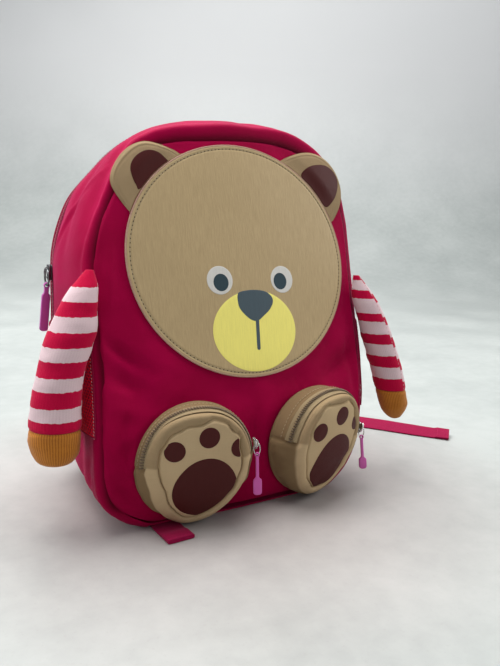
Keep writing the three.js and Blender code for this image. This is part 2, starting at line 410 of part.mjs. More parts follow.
// ---------- paw pockets ----------
function pawFrame(side) {
  const s = side === "left" ? -1 : 1, psi = rad(PAW.face.turn) * s, t = rad(PAW.face.tilt);
  const n = new THREE.Vector3(Math.sin(psi) * Math.cos(t), -Math.cos(psi) * Math.cos(t), Math.sin(t));
  const r = new THREE.Vector3(Math.cos(psi), Math.sin(psi), 0);
  const up = new THREE.Vector3().crossVectors(n, r);
  if (up.z < 0) up.negate();
  return { c: new THREE.Vector3(s * PAW.face.x, PAW.face.y, PAW.face.z), n, r, up, s };
}
function pawFacePoint(f, a, b, out = 0) {
  const h = -0.5 * PAW.face.dome * (a * a + b * b) + out;
  return f.c.clone().addScaledVector(f.r, a).addScaledVector(f.up, b).addScaledVector(f.n, h).toArray();
}
const PAW_RIMS = {
  left: PAW_RIM.map((r) => ({ a: r.a, b: r.b - (r.sag ?? 0) })),
  right: PAW_RIM.map((r) => ({ a: r.a, b: r.b })),
};
const pawRim = (side, u) => ({ a: round(PAW_RIMS[side], "a", u), b: round(PAW_RIMS[side], "b", u) });
function pawBase(side, angle, inset = 0) {
  const x = PAW.baseX[side] + (PAW.base.rx - inset) * Math.cos(angle);
  const z = PAW.base.z + (PAW.base.rz - inset) * Math.sin(angle);
  return [x, frontY(x, z) - 1.4, z];
}
// wall point: u along the rim, w from 0 at the panel to 1 at the face's rim
function pawSide(side, u, w, out = 0) {
  const f = pawFrame(side), rim = pawRim(side, u), angle = Math.atan2(rim.b + 3, rim.a + 3);
  const base = pawBase(side, angle), top = pawFacePoint(f, rim.a, rim.b, 0);
  const dir = new THREE.Vector3().addScaledVector(f.r, rim.a + 3).addScaledVector(f.up, rim.b + 3).normalize();
  const push = PAW.side * Math.sin(Math.PI * w) + out;
  return [0, 1, 2].map((k) => base[k] + w * (top[k] - base[k]) + dir.getComponent(k) * push);
}
function pawPocket(side) {
  const f = pawFrame(side), us = steps(0, PAW_RIM.length, PAW.steps).slice(0, -1);
  const grid = (inner) => {
    const t = inner ? PAW.wall : 0, rows = [];
    rows.push(us.map(() => pawFacePoint(f, -3, -3, -t)));
    for (const r of [0.4, 0.7, 0.92]) rows.push(us.map((u) => {
      const m = pawRim(side, u);
      return pawFacePoint(f, -3 + (m.a + 3) * r, -3 + (m.b + 3) * r, -t);
    }));
    rows.push(us.map((u) => {
      const m = pawRim(side, u), len = Math.hypot(m.a + 3, m.b + 3), k = (len - t) / len;
      return pawFacePoint(f, -3 + (m.a + 3) * k, -3 + (m.b + 3) * k, -t * 1.1);
    }));
    for (const w of [0.85, 0.55, 0.28, 0]) rows.push(us.map((u) => pawSide(side, u, w, -t)));
    return rows;
  };
  return wall(grid(false), grid(true), { closed: true, pole: true });
}
// stations of the paw rim that lie at an angle about the face's middle
function pawStation(side, deg) {
  let best = 0, gap = 1e9;
  for (const u of steps(0, PAW_RIM.length, 640)) {
    const m = pawRim(side, u), d = Math.abs(mod((Math.atan2(m.b + 3, m.a + 3) * 180) / Math.PI - deg + 180, 360) - 180);
    if (d < gap) { gap = d; best = u; }
  }
  return best;
}
function pawZip(side) {
  const u0 = pawStation(side, PAW_ZIP.startDeg[side]), u1 = pawStation(side, PAW_ZIP.endDeg[side]) + PAW_RIM.length;
  const us = steps(u0, u1, PAW_ZIP.steps);
  const grid = (inner) => [PAW_ZIP.from, (PAW_ZIP.from + PAW_ZIP.to) / 2, PAW_ZIP.to]
    .map((w, i) => us.map((u) => pawSide(side, u, w, PAW_ZIP.lift + (inner ? 0 : PAW_ZIP.thick + (i === 1 ? 0.5 : 0)))));
  return wall(grid(false), grid(true));
}

// ---------- arms ----------
const ellipse = (c, ax, ay, w, d, n) => steps(0, 2 * Math.PI, n).slice(0, -1)
  .map((a) => c.map((v, k) => v + ax[k] * w * Math.cos(a) + ay[k] * d * Math.sin(a)));
// x of the body's side at a depth and height, moved out by a clearance
function sideX(side, y, z, out) {
  let [lo, hi] = side === "left" ? [23.5, 34.5] : [14, 4];
  for (let i = 0; i < 30; i++) { const m = (lo + hi) / 2; if (gussetPoint(m, y, out)[2] < z) lo = m; else hi = m; }
  return gussetPoint((lo + hi) / 2, y, out)[0];
}
// stuffed pieces give way where they lie against the side and the mesh pocket
function pressOut(side, p) {
  const s = mirror(side), top = seam(side === "left" ? 29 : 8), y0 = frontY(top.x, p[2]) - 1;
  if (p[1] < y0) return p;
  const v = Math.min(1, Math.max(0, (p[1] - y0) / (MESH.yBack - y0)));
  const out = p[2] < 140 ? 2.6 + MESH.mouth * Math.sin(Math.PI * v) ** 0.8 : 1;
  const limit = sideX(side, p[1], p[2], out) * s;
  return [s * Math.max(s * p[0], limit), p[1], p[2]];
}
function armRings(side, from, to, n) {
  const run = ARMS[side], yaw = rad(side === "left" ? -30 : -32);
  const across = [Math.cos(yaw), Math.sin(yaw), 0], deep = [-Math.sin(yaw), Math.cos(yaw), 0];
  return steps(from, to, n).map((s) => {
    const c = ["x", "y", "z"].map((k) => along(run, k, s));
    return ellipse(c, across, deep, Math.max(0, along(run, "w", s)), Math.max(0, along(run, "d", s)), 14)
      .map((p) => pressOut(side, p));
  });
}
function armStation(side, z) {
  let lo = 0, hi = ARMS[side].length - 1;
  for (let i = 0; i < 40; i++) { const m = (lo + hi) / 2; if (along(ARMS[side], "z", m) > z) lo = m; else hi = m; }
  return lo;
}
const armPiece = (side) => skin(armRings(side, 0, armStation(side, HAND_TOP[side] + GAP / 2), 13));
const handPiece = (side) => skin(armRings(side, armStation(side, HAND_TOP[side] - GAP / 2), ARMS[side].length - 1, 7));

// ---------- mesh side pockets ----------
function meshPocket(side) {
  const m = MESH[side], us = steps(m.u0, m.u1, 6), vs = steps(0, 1, 9);
  const grid = (outer) => us.map((u, i) => vs.map((v) => {
    const rise = i / 6, y0 = seamY(u) + FRONT_EDGE + MESH.y0, y = y0 + (MESH.yBack - y0) * v;
    const off = MESH.edge + MESH.mouth * rise ** 1.3 * Math.sin(Math.PI * v) ** 0.8;
    return gussetPoint(u, y, off + (outer ? MESH.wall : 0));
  }));
  return wall(grid(true), grid(false));
}

// ---------- straps ----------
function shoulderStrap(side) {
  const s = mirror(side);
  return band(STRAP.map((r) => ({ p: [s * r.x, r.y, r.z], side: [1, 0, 0], n: [0, 1, 0], w: r.w, t: r.t, cols: 4, round: true })));
}
function buckle(side) {
  const b = BUCKLE, half = b.wide / 2, shape = new THREE.Shape();
  shape.moveTo(-half, -b.high / 2); shape.lineTo(half, -b.high / 2); shape.lineTo(half, b.high / 2); shape.lineTo(-half, b.high / 2);
  shape.closePath();
  const h = (b.high - 3 * b.bar) / 4;
  for (const z of [-(b.bar / 2 + h), b.bar / 2 + h]) {
    const slot = new THREE.Path(), w = half - b.bar;
    slot.moveTo(-w, z - h); slot.lineTo(-w, z + h); slot.lineTo(w, z + h); slot.lineTo(w, z - h);
    slot.closePath(); shape.holes.push(slot);
  }
  const g = new THREE.ExtrudeGeometry(shape, { depth: b.thick, bevelEnabled: false });
  g.translate(0, 0, -b.thick / 2).rotateX(Math.PI / 2);
  return g.translate(mirror(side) * b.x, b.y, b.z);
}

function ribbon(rows, per, s = 1, half = WEB.half, thick = WEB.thick) {
  return band(steps(0, rows.length - 1, (rows.length - 1) * per).map((i) => ({
    p: [s * along(rows, "x", i), along(rows, "y", i), along(rows, "z", i)],
    side: [along(rows, "sx", i), s * along(rows, "sy", i), s * along(rows, "sz", i)], w: half, t: thick, cols: 1,
  })));
}
const webbing = (side) => ribbon([...WEB_START, ...WEB_TAIL[side]], 2, mirror(side));
const grabLoop = () => ribbon(GRAB, 3, 1, 8, 2);

// ---------- small hardware ----------
// a flat pull that hangs along -Y: an eye, a narrow stem, then a wider rounded tongue
function pullShape(p, length) {
  const r = p.wide / 2, n = p.neck / 2, s = new THREE.Shape(), hole = new THREE.Path();
  s.moveTo(-r, -length + r); s.lineTo(-r, -p.drop - 2); s.lineTo(-p.stem, -p.drop); s.lineTo(-p.stem, -n * 1.6);
  s.lineTo(-n, -n); s.absarc(0, -n, n, Math.PI, 0, true); s.lineTo(p.stem, -n * 1.6); s.lineTo(p.stem, -p.drop);
  s.lineTo(r, -p.drop - 2); s.lineTo(r, -length + r); s.absarc(0, -length + r, r, 0, -Math.PI, true);
  hole.absarc(0, -n, n - 0.9, 0, 2 * Math.PI, false); s.holes.push(hole);
  const g = new THREE.ExtrudeGeometry(s, { depth: p.deep, bevelEnabled: false, curveSegments: 6 });
  return g.translate(0, 0, -p.deep / 2);
}

// places a geometry that hangs along -Y of its own frame from one point to another, its flat side facing a way
function hang(g, top, end, facing) {
  const y = new THREE.Vector3(top.x - end.x, top.y - end.y, top.z - end.z).normalize();
  const z = new THREE.Vector3(...facing).addScaledVector(y, -y.dot(new THREE.Vector3(...facing))).normalize();
  const m = new THREE.Matrix4().makeBasis(new THREE.Vector3().crossVectors(y, z), y, z).setPosition(top.x, top.y, top.z);
  return g.applyMatrix4(m);
}
const reach = (p) => Math.hypot(p.top.x - p.end.x, p.top.y - p.end.y, p.top.z - p.end.z);
// a slider body with a bridge on its outer side; the bridge's hole runs along X of its own frame
function sliderShape({ wide, long, deep, bridge = 2, across = false }) {
  const box = (x, y, z, at) => toManifold(new THREE.BoxGeometry(x, y, z).translate(...at));
  const [bx, by] = across ? [5.4, 3] : [2.6, long * 0.7];
  const body = box(wide, long, deep, [0, 0, 0]).add(box(bx, by, bridge + 0.2, [0, 0, deep / 2 + bridge / 2 - 0.1]));
  const hole = box(across ? 3.2 : 4, across ? 4 : by - 2.4, bridge - 0.8, [0, 0, deep / 2 + (bridge - 0.8) / 2 + 0.05]);
  return fromManifold(body.subtract(hole));
}
function mainSlider() {
  const s = MAIN_SLIDER;
  return hang(sliderShape(s), s, { x: s.x, y: s.y, z: s.z - 1 }, [-1, 0, 0]);
}
const mainRing = () => new THREE.TorusGeometry(MAIN_RING.r, MAIN_RING.tube, 6, 20).rotateY(Math.PI / 2)
  .translate(MAIN_RING.x, MAIN_RING.y, MAIN_RING.z);
const mainPull = () => hang(pullShape(MAIN_PULL, reach(MAIN_PULL)), MAIN_PULL.top, MAIN_PULL.end, [0, -1, 0]);
function pawSlider(side) {
  const u = pawStation(side, PAW_SLIDER.deg[side]), p = PAW_SLIDER, f = pawFrame(side);
  const a = new THREE.Vector3(...pawSide(side, u, p.w, p.lift[side])), b = new THREE.Vector3(...pawSide(side, u + 0.2, p.w, p.lift[side]));
  const m = pawRim(side, u), out = new THREE.Vector3().addScaledVector(f.r, m.a + 3).addScaledVector(f.up, m.b + 3).normalize();
  return hang(sliderShape(p), a, b, out.toArray());
}
function pawPull(side) {
  const p = PAW_PULL[side];
  return hang(pullShape(PAW_PULL, reach(p)), p.top, p.end, p.facing);
}

// ---------- assembly ----------
const colours = {
  magenta: "#a8124f", tan: "#a68f68", leather: "#a88f69", knit: "#c01038", felt: "#b8722c", mesh: "#b3102c",
  zip: "#7a0f3c", metal: "#55585c", silver: "#c9c9c9", pull: "#c04a9c", plastic: "#6d1038",
};
const finish = (color, roughness = 0.9, metalness = 0) => new THREE.MeshStandardMaterial({ color, roughness, metalness });
const bag = new THREE.Group();
bag.position.set(FACE_TO_BASE.x, FACE_TO_BASE.y, FACE_TO_BASE.z);
function add(name, geometry, material, into = bag) {
  const mesh = new THREE.Mesh(geometry, material);
  mesh.name = name;
  into.add(mesh);
  return mesh;
}
add("front_panel", frontPanel(), finish(colours.magenta, 0.75));
add("gusset", gussetPiece(), finish(colours.magenta, 0.75));
add("main_zip", mainZip(), finish(colours.zip, 0.7));
add("back_gusset", backGusset(), finish(colours.magenta, 0.75));
add("back_panel", backPanel(), finish(colours.magenta, 0.85));
add("face_disc", faceDisc(), finish(colours.leather, 0.55));
add("main_slider", mainSlider(), finish(colours.metal, 0.35, 1));
add("main_ring", mainRing(), finish(colours.metal, 0.35, 1));
add("main_pull", mainPull(), finish(colours.pull, 0.5));
add("grab_loop", grabLoop(), finish(colours.magenta, 0.8));
for (const side of ["left", "right"]) {
  add(`ear_${side}`, ear(side), finish(colours.tan));
  add(`paw_pocket_${side}`, pawPocket(side), finish(colours.tan));
  add(`paw_zip_${side}`, pawZip(side), finish(colours.tan, 0.6));
  add(`arm_${side}`, armPiece(side), finish(colours.knit, 0.95));
  add(`hand_${side}`, handPiece(side), finish(colours.felt, 0.95));
  add(`mesh_pocket_${side}`, meshPocket(side), finish(colours.mesh, 0.8));
  add(`shoulder_strap_${side}`, shoulderStrap(side), finish(colours.magenta, 0.85));
  add(`webbing_${side}`, webbing(side), finish(colours.magenta, 0.8));
  add(`paw_slider_${side}`, pawSlider(side), finish(colours.silver, 0.3, 1));
  add(`paw_pull_${side}`, pawPull(side), finish(colours.pull, 0.5));
  add(`buckle_${side}`, buckle(side), finish(colours.plastic, 0.4));
}

const root = new THREE.Group();
root.add(bag);
export default root;
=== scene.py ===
# Looks of the child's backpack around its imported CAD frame.
# Tables and shapes are in the face frame, in millimetres, as in the part's source: x = 0 and y = 0 at the
# middle of the face disc, z = 0 on the floor. SHIFT moves them to the row frame; meshes are in metres.
import math
import bpy
import bmesh
import numpy as np
from mathutils import Matrix, Vector


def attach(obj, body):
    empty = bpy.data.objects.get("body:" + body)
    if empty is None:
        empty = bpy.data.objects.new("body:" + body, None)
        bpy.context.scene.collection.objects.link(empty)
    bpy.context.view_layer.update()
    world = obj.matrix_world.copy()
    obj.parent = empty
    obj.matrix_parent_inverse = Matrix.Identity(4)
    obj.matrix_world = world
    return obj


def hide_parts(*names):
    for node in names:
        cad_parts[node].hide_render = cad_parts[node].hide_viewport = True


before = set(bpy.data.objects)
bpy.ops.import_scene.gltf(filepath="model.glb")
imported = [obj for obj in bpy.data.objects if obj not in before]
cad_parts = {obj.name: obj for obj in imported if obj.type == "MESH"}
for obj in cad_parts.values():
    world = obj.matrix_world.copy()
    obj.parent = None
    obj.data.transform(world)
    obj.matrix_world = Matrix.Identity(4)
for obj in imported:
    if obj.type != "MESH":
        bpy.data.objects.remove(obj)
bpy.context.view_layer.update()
SHIFT = np.array([7.0, -40.0, 0.0])
BACK_Y, CLOTH = 104.0, 2.5


def table(names, rows):
    a = np.array(rows, float)
    return {n: a[:, i] for i, n in enumerate(names.split())}


FRONT_PROFILE = table("z y k", [
    (-5, -22, 0.0002), (0, -23.5, 0.0002), (12, -25.8, 0.0003), (30, -27.6, 0.0004), (50, -28.4, 0.0005), (75, -27, 0.0008), (102, -21, 0.0011),
    (130, -14.4, 0.0013), (160, -7.1, 0.0013), (187.4, 0, 0.0013), (215, 7.7, 0.0013), (245, 16.5, 0.0013), (272, 25, 0.0013), (300, 34, 0.0012),
])
BODY = table("fx fz bx bz g p", [
    (0, 277, 0, 287, 12, 0.8), (28, 278, 30, 287, 12.5, 0.8), (52, 275.5, 56, 283, 14.5, 0.8), (74, 267, 80, 272, 15.5, 0.8),
    (90, 256, 97, 256, 13.5, 0.8), (100, 240.5, 107, 238, 10.5, 0.8), (104.5, 220, 111, 215, 9, 0.8), (105, 195, 113, 190, 8, 0.8),
    (105, 168, 113.5, 164, 8, 0.8), (105.5, 140, 114, 138, 7.5, 0.8), (106, 112, 114, 110, 7, 0.8), (104, 85, 112.5, 85, 6, 0.8),
    (101, 60, 109, 60, 5, 0.75), (98, 38, 104, 38, 5, 0.7), (91, 21, 95, 22, 6, 0.6), (80, 10.5, 82, 11, 7, 0.5), (63, 6, 62, 5.5, 12, 0.42),
    (32, 5, 32, 4.5, 14, 0.4), (0, 5, 0, 4.5, 14, 0.4), (-34, 5, -34, 4.5, 14, 0.4), (-66, 4.5, -64, 4.5, 13, 0.4), (-86, 5.5, -80, 7, 8, 0.45),
    (-103, 14, -93, 15, 8, 0.5), (-116.5, 26, -105, 28, 7, 0.55), (-121.5, 42, -112, 44, 6, 0.65), (-122, 64, -116, 64, 6.5, 0.75),
    (-120.5, 88, -118, 88, 7.5, 0.8), (-118.8, 112, -118.5, 112, 8.5, 0.8), (-118.5, 138, -118.5, 138, 8, 0.8), (-118.8, 164, -118.5, 164, 7.8, 0.8),
    (-117.3, 188, -117.5, 187, 7.6, 0.78), (-110.5, 211, -112, 209, 7.4, 0.75), (-101.5, 229, -103.5, 228, 7.5, 0.72), (-92, 247, -90, 244, 7, 0.7),
    (-77, 262, -72, 262, 7.5, 0.72), (-54, 270.8, -50, 275, 9.5, 0.75), (-27, 274.5, -26, 283, 11.5, 0.8),
])
EARS = {"left": table("x v", [
    (-45, 75), (-52, 79.5), (-60, 82.3), (-68, 84), (-75.5, 84), (-83, 81), (-90, 75.5), (-96, 68), (-100.3, 59), (-100.8, 52), (-98, 45),
    (-93.5, 38), (-89, 32),
]),
    "right": table("x v", [
    (38, 79), (46, 83), (56, 87), (66, 89.5), (76, 90), (86, 87.5), (95, 81.5), (101, 73), (104, 63), (103, 54), (99.5, 45.5), (95, 39), (89.5, 33),
])}
PAW = {"base": {"z": 46.8, "rx": 43.6, "rz": 42}, "baseX": {"left": -57, "right": 48.5}, "face": {"x": 56.8, "y": -48.8, "z": 49.75, "turn": 13.6, "tilt": -10.7, "dome": 0.0042, "rim": 4.6}, "wall": 2, "side": 2.4, "steps": 28}
PAW_RIM = table("a b sag", [
    (0, 36.5, 0), (11.5, 33.5, 0), (21, 25.5, 0), (27.2, 14, 0), (29.8, 1, 0), (28, -13.8, 0), (21.8, -28, 0), (11.4, -40, 0), (-2, -45.6, 1.5),
    (-14.6, -43.6, 4), (-26.2, -32.4, 3), (-33.4, -17.8, 0), (-37.6, -2, 0), (-36, 14, 0), (-29, 28, 0), (-16, 35, 0),
])
PAW_ZIP = {"from": 0.5, "to": 0.82, "startDeg": {"left": 177, "right": 168}, "endDeg": {"left": 12, "right": 1}, "lift": 0.35, "thick": 1.3, "steps": 18}
ARMS = {"left": table("x y z w d", [
    (-121.8, 1, 179, 2.5, 1.6), (-125.4, -1, 169, 8.2, 5.5), (-129, -1, 159, 11.6, 8.5), (-133, -2, 143, 15.2, 11.5),
    (-137.5, -2, 129.5, 16.2, 12.5), (-141.5, -2, 116, 15.2, 12.8), (-144, -2, 103, 15.8, 13.2), (-145.4, -2, 90, 16.6, 13.8),
    (-146.2, -2, 77, 17.2, 14), (-146.4, -2, 66, 16.8, 14), (-146.2, -2, 57.5, 15, 12.6), (-146, -2, 51.8, 10.2, 8.8), (-146, -2, 49.5, 0, 0),
]),
    "right": table("x y z w d", [
    (104.5, -4, 174, 2.5, 1.6), (107.8, -7, 163, 7.6, 4.5), (112, -9, 152.6, 10.6, 7), (117.8, -10.5, 139.8, 12.2, 9.5), (124.8, -12, 124, 13.2, 11),
    (132, -13, 107.3, 13.8, 12), (139, -14, 91, 13.8, 12.3), (143.8, -15, 75, 13.8, 12.5), (146.6, -16, 64, 13.2, 12), (148.6, -16, 55, 10.8, 9.5),
    (150, -16, 48.5, 5.6, 5), (150.6, -16, 46, 0, 0),
])}
HAND_TOP = {"left": 75.5, "right": 74.5}
MESH = {"left": {"u0": 25.25, "u1": 27.9}, "right": {"u0": 11.75, "u1": 9.15}, "y0": 2, "yBack": 80, "wall": 1.2, "mouth": 8, "edge": 0.35}
STRAP = table("x y z w t", [
    (40, 114.6, 242, 20, 3.5), (41, 118.5, 250, 20, 5), (43, 127, 248.5, 20, 7), (48, 138, 233, 20.5, 8), (55, 146, 208, 20.5, 8),
    (61.5, 149.5, 180, 20.5, 8), (66, 148.5, 153, 20, 8), (69.5, 144, 132, 18, 7), (71, 139.6, 117, 13, 3.5), (71.7, 137.6, 108, 10, 1.5),
    (72, 136.9, 101, 10, 1.5), (72, 136.6, 96.4, 10, 1.5), (72, 134.6, 94.7, 10, 1.5), (72, 132.6, 94.8, 10, 1.5), (72, 131.1, 97.2, 10, 1.5),
    (72, 131.1, 102, 10, 1.5), (72, 131.9, 107, 10, 1.5),
])
BUCKLE = {"x": 72, "y": 134, "z": 88, "wide": 29, "high": 24, "thick": 3.2, "bar": 3.2}
WEB_START = table("x y z sx sy sz", [
    (88, 110.6, 22, 1, 0, 0), (85.5, 112.8, 31, 1, 0, 0), (80, 119.5, 50, 1, 0, 0), (75, 126, 68, 1, 0, 0), (72.2, 128.7, 80, 1, 0, 0),
    (72, 128.9, 86, 1, 0, 0), (72, 130, 90, 1, 0, 0), (72, 132, 91.4, 1, 0, 0), (72, 134, 91.6, 1, 0, 0), (72, 136, 91.1, 1, 0, 0),
    (72, 137.2, 89.3, 1, 0, 0), (72, 137.2, 86.8, 1, 0, 0), (72, 136, 84.8, 1, 0, 0), (72, 134, 84.3, 1, 0, 0), (72, 132.1, 83.5, 1, 0, 0),
    (72, 131.3, 81.4, 1, 0, 0), (72, 131.3, 77.5, 1, 0, 0), (72, 132.4, 71, 1, 0, 0), (72.5, 135.4, 58, 1, 0, 0),
])
WEB_TAIL = {"left": table("x y z sx sy sz", [
    (73, 138, 42, 1, 0, 0), (73.4, 138.5, 25, 1, 0, 0), (73.8, 135, 9, 1, 0, 0), (74.2, 127, 2.2, 1, 0, 0), (74.6, 116, 0.85, 1, 0, 0),
    (75, 90, 0.85, 1, 0, 0), (75.3, 50, 0.85, 1, 0, 0), (75.6, 10, 0.85, 1, 0, 0), (76.2, -26, 0.85, 1, 0.12, 0), (75.8, -50, 1.1, 1, 0.12, 0),
]),
    "right": table("x y z sx sy sz", [
    (73.4, 139.5, 42, 1, 0, 0), (76, 143, 25, 0.96, 0.25, 0), (84, 147, 11, 0.8, 0.6, 0.05), (100, 149, 4.5, 0.45, 0.88, 0.12),
    (128, 144, 2.8, 0.35, 0.92, 0.16), (165, 126, 3.3, 0.5, 0.82, 0.24), (199, 99, 3.6, 0.62, 0.74, 0.26), (222, 72, 3.6, 0.72, 0.64, 0.27),
    (243, 43, 3.4, 0.78, 0.58, 0.25), (266, 15, 3, 0.8, 0.56, 0.2),
])}
GRAB = table("x y z sx sy sz", [
    (-16, 114, 260, 1, 0, 0), (-16, 114.6, 266, 1, 0, 0.1), (-15.4, 118, 274, 0.85, 0, 0.5), (-11, 122, 280, 0.45, 0, 0.9),
    (0, 123.5, 282.5, 0, 0, 1), (11, 122, 280, -0.45, 0, 0.9), (15.4, 118, 274, -0.85, 0, 0.5), (16, 114.6, 266, -1, 0, 0.1),
    (16, 114, 260, -1, 0, 0),
])
MAIN_SLIDER = {"x": -125.1, "y": 89, "z": 170, "wide": 8.4, "long": 12, "deep": 2.6, "bridge": 3}
MAIN_RING = {"x": -127.2, "y": 89, "z": 166, "r": 6, "tube": 0.75}
MAIN_PULL = {"top": {"x": -127.2, "y": 89, "z": 162.3}, "end": {"x": -130, "y": 91, "z": 124}, "wide": 6.4, "neck": 4.6, "stem": 1.7, "drop": 8, "deep": 2.8}
PAW_SLIDER = {"deg": {"left": 17, "right": 6}, "w": 0.62, "lift": {"left": 3.5, "right": 3.75}, "wide": 5.5, "long": 8.5, "deep": 1.8, "bridge": 1.6}
PAW_PULL = {"left": {"top": {"x": -17.6, "y": -49.4, "z": 53.6}, "end": {"x": -18, "y": -53, "z": 23}, "facing": [-0.4, -0.92, 0]}, "right": {"top": {"x": 92.6, "y": -37, "z": 46}, "end": {"x": 93.4, "y": -41, "z": 18}, "facing": [-0.4, -0.92, 0]}, "wide": 6.2, "neck": 3.6, "stem": 1.1, "drop": 18, "deep": 2.2}
ZIP = {"from": 84, "to": 94, "uStart": 25.7, "uEnd": 48.2}
DISC = {"x": -1.2, "z": 186, "lean": 15.05, "rx": 94.5, "ry": 88, "off": 0.35, "thick": 1.4}
GUSSET_FOLDS = [{"u0": 34.2, "y0": 40, "u1": 30.6, "y1": 24, "width": 5, "depth": 2.6}, {"u0": 33.6, "y0": 66, "u1": 30.2, "y1": 52, "width": 6, "depth": 1.6}]
FRONT_FOLDS = [{"x0": -113, "z0": 112, "x1": -86, "z1": 88, "width": 9, "depth": 2.4}, {"x0": -110, "z0": 80, "x1": -98, "z1": 74, "width": 8, "depth": 1.5}]


# ---------- curves through tables ----------
def hermite(a, b, ma, mb, t):
    t2, t3 = t * t, t * t * t
    return (2 * t3 - 3 * t2 + 1) * a + (t3 - 2 * t2 + t) * ma + (-2 * t3 + 3 * t2) * b + (t3 - t2) * mb


def column(T, by, name, at):
    k, v = T[by], T[name]
    n = len(k)
    x = np.clip(np.asarray(at, float), k[0], k[-1])
    i = np.clip(np.searchsorted(k, x, side="right") - 1, 0, n - 2)
    lo, hi = np.maximum(np.arange(n) - 1, 0), np.minimum(np.arange(n) + 1, n - 1)
    slope = (v[hi] - v[lo]) / (k[hi] - k[lo])
    h = k[i + 1] - k[i]
    return hermite(v[i], v[i + 1], slope[i] * h, slope[i + 1] * h, (x - k[i]) / h)


def loop(T, name, u):
    v, u = T[name], np.asarray(u, float)
    n, i = len(v), np.floor(u).astype(int)
    a, b, c, d = (v[(i + k) % n] for k in (-1, 0, 1, 2))
    return hermite(b, c, (c - a) / 2, (d - b) / 2, u - i)


def along(T, name, s):
    v, s = T[name], np.asarray(s, float)
    n = len(v)
    i = np.clip(np.floor(s).astype(int), 0, n - 2)
    a, b, c, d = (v[np.clip(i + k, 0, n - 1)] for k in (-1, 0, 1, 2))
    return hermite(b, c, (c - a) / 2, (d - b) / 2, s - i)


def unit(v):
    return v / np.maximum(np.linalg.norm(v, axis=-1, keepdims=True), 1e-9)


def bell(x, at, width):
    return np.exp(-(((np.asarray(x, float) - at) / width) ** 2))


def step(x, a, b):
    t = np.clip((np.asarray(x, float) - a) / (b - a), 0, 1)
    return t * t * (3 - 2 * t)


LATTICE = np.random.default_rng(11).uniform(-1, 1, (32, 32, 32))


def noise(P, size, seed=0):
    """Smooth noise from -1 to 1 at points P, in mm, with lumps of a given size, one value or three."""
    q = np.asarray(P, float) / np.asarray(size, float) + 7.31 * seed + 100.5
    i = np.floor(q).astype(int)
    f = q - i
    f = f * f * (3 - 2 * f)
    out = 0
    for dx in (0, 1):
        for dy in (0, 1):
            for dz in (0, 1):
                w = np.abs(1 - dx - f[..., 0]) * np.abs(1 - dy - f[..., 1]) * np.abs(1 - dz - f[..., 2])
                out = out + w * LATTICE[(i[..., 0] + dx) % 32, (i[..., 1] + dy) % 32, (i[..., 2] + dz) % 32]
    return out


def folds(rows, p, q, keys, scale):
    d = 0
    for f in rows:
        ax, ay, bx, by = f[keys[0]] * scale, f[keys[1]], f[keys[2]] * scale, f[keys[3]]
        dx, dy, px = bx - ax, by - ay, p * scale
        t = np.clip(((px - ax) * dx + (q - ay) * dy) / (dx * dx + dy * dy), 0, 1)
        r = np.hypot(px - ax - t * dx, q - ay - t * dy) / f["width"]
        d = d + f["depth"] * np.exp(-r * r) * np.sin(np.pi * (0.12 + 0.76 * t))
    return d


# ---------- body surfaces, as in the part ----------
def front_y(x, z):
    return column(FRONT_PROFILE, "z", "y", z) + 0.5 * column(FRONT_PROFILE, "z", "k", z) * x * x


def front_fold(x, z):
    return folds(FRONT_FOLDS, x, z, ("x0", "z0", "x1", "z1"), 1)


def seam_y(u):
    return front_y(loop(BODY, "fx", u), loop(BODY, "fz", u))


def gusset(u, y, out=0.0, fold=True):
    u, y = np.broadcast_arrays(np.asarray(u, float), np.asarray(y, float))
    fx, fz, bx, bz, g, p = (loop(BODY, k, u) for k in ("fx", "fz", "bx", "bz", "g", "p"))
    yf = front_y(fx, fz)
    t = np.clip((y - yf) / (BACK_Y - yf), 0, 1)

    def mid(v):
        return ((1 - t) * loop(BODY, "fx", v) + t * loop(BODY, "bx", v), (1 - t) * loop(BODY, "fz", v) + t * loop(BODY, "bz", v))

    a, b = mid(u - 0.05), mid(u + 0.05)
    ln = np.hypot(b[0] - a[0], b[1] - a[1])
    nx, nz = -(b[1] - a[1]) / ln, (b[0] - a[0]) / ln
    s = g * (1 - np.abs(2 * t**p - 1) ** 2.8)
    if fold:
        s = s - folds(GUSSET_FOLDS, u, y, ("u0", "y0", "u1", "y1"), 20)
    x, z = (1 - t) * fx + t * bx + nx * s, np.maximum(0, (1 - t) * fz + t * bz + nz * s)
    return np.stack([x + nx * out, y, z + nz * out], -1)


# ---------- mesh making ----------
def to_m(P):
    return (np.asarray(P, float).reshape(-1, 3) + SHIFT) * 0.001


def make(name, verts, faces, mat, attrs=None, sharp=40, shift=True):
    """A mesh object from points in mm. attrs: name to one row of up to three numbers for each point."""
    me = bpy.data.meshes.new(name)
    V = to_m(verts) if shift else np.asarray(verts, float).reshape(-1, 3) * 0.001
    me.from_pydata(V.tolist(), [], [tuple(f) for f in faces])
    for key, val in (attrs or {}).items():
        a = np.zeros((len(V), 3))
        val = np.asarray(val, float).reshape(len(V), -1)
        a[:, : val.shape[1]] = val
        me.attributes.new(key, "FLOAT_VECTOR", "POINT").data.foreach_set("vector", a.ravel())
    bm = bmesh.new()
    bm.from_mesh(me)
    bmesh.ops.remove_doubles(bm, verts=bm.verts, dist=2e-6)
    bmesh.ops.dissolve_degenerate(bm, edges=bm.edges, dist=1e-7)
    bmesh.ops.recalc_face_normals(bm, faces=bm.faces)
    bm.to_mesh(me)
    bm.free()
    me.shade_smooth()
    me.set_sharp_from_angle(angle=math.radians(sharp))
    ob = bpy.data.objects.new(name, me)
    bpy.context.scene.collection.objects.link(ob)
    me.materials.append(mat)
    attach(ob, "root")
    return ob


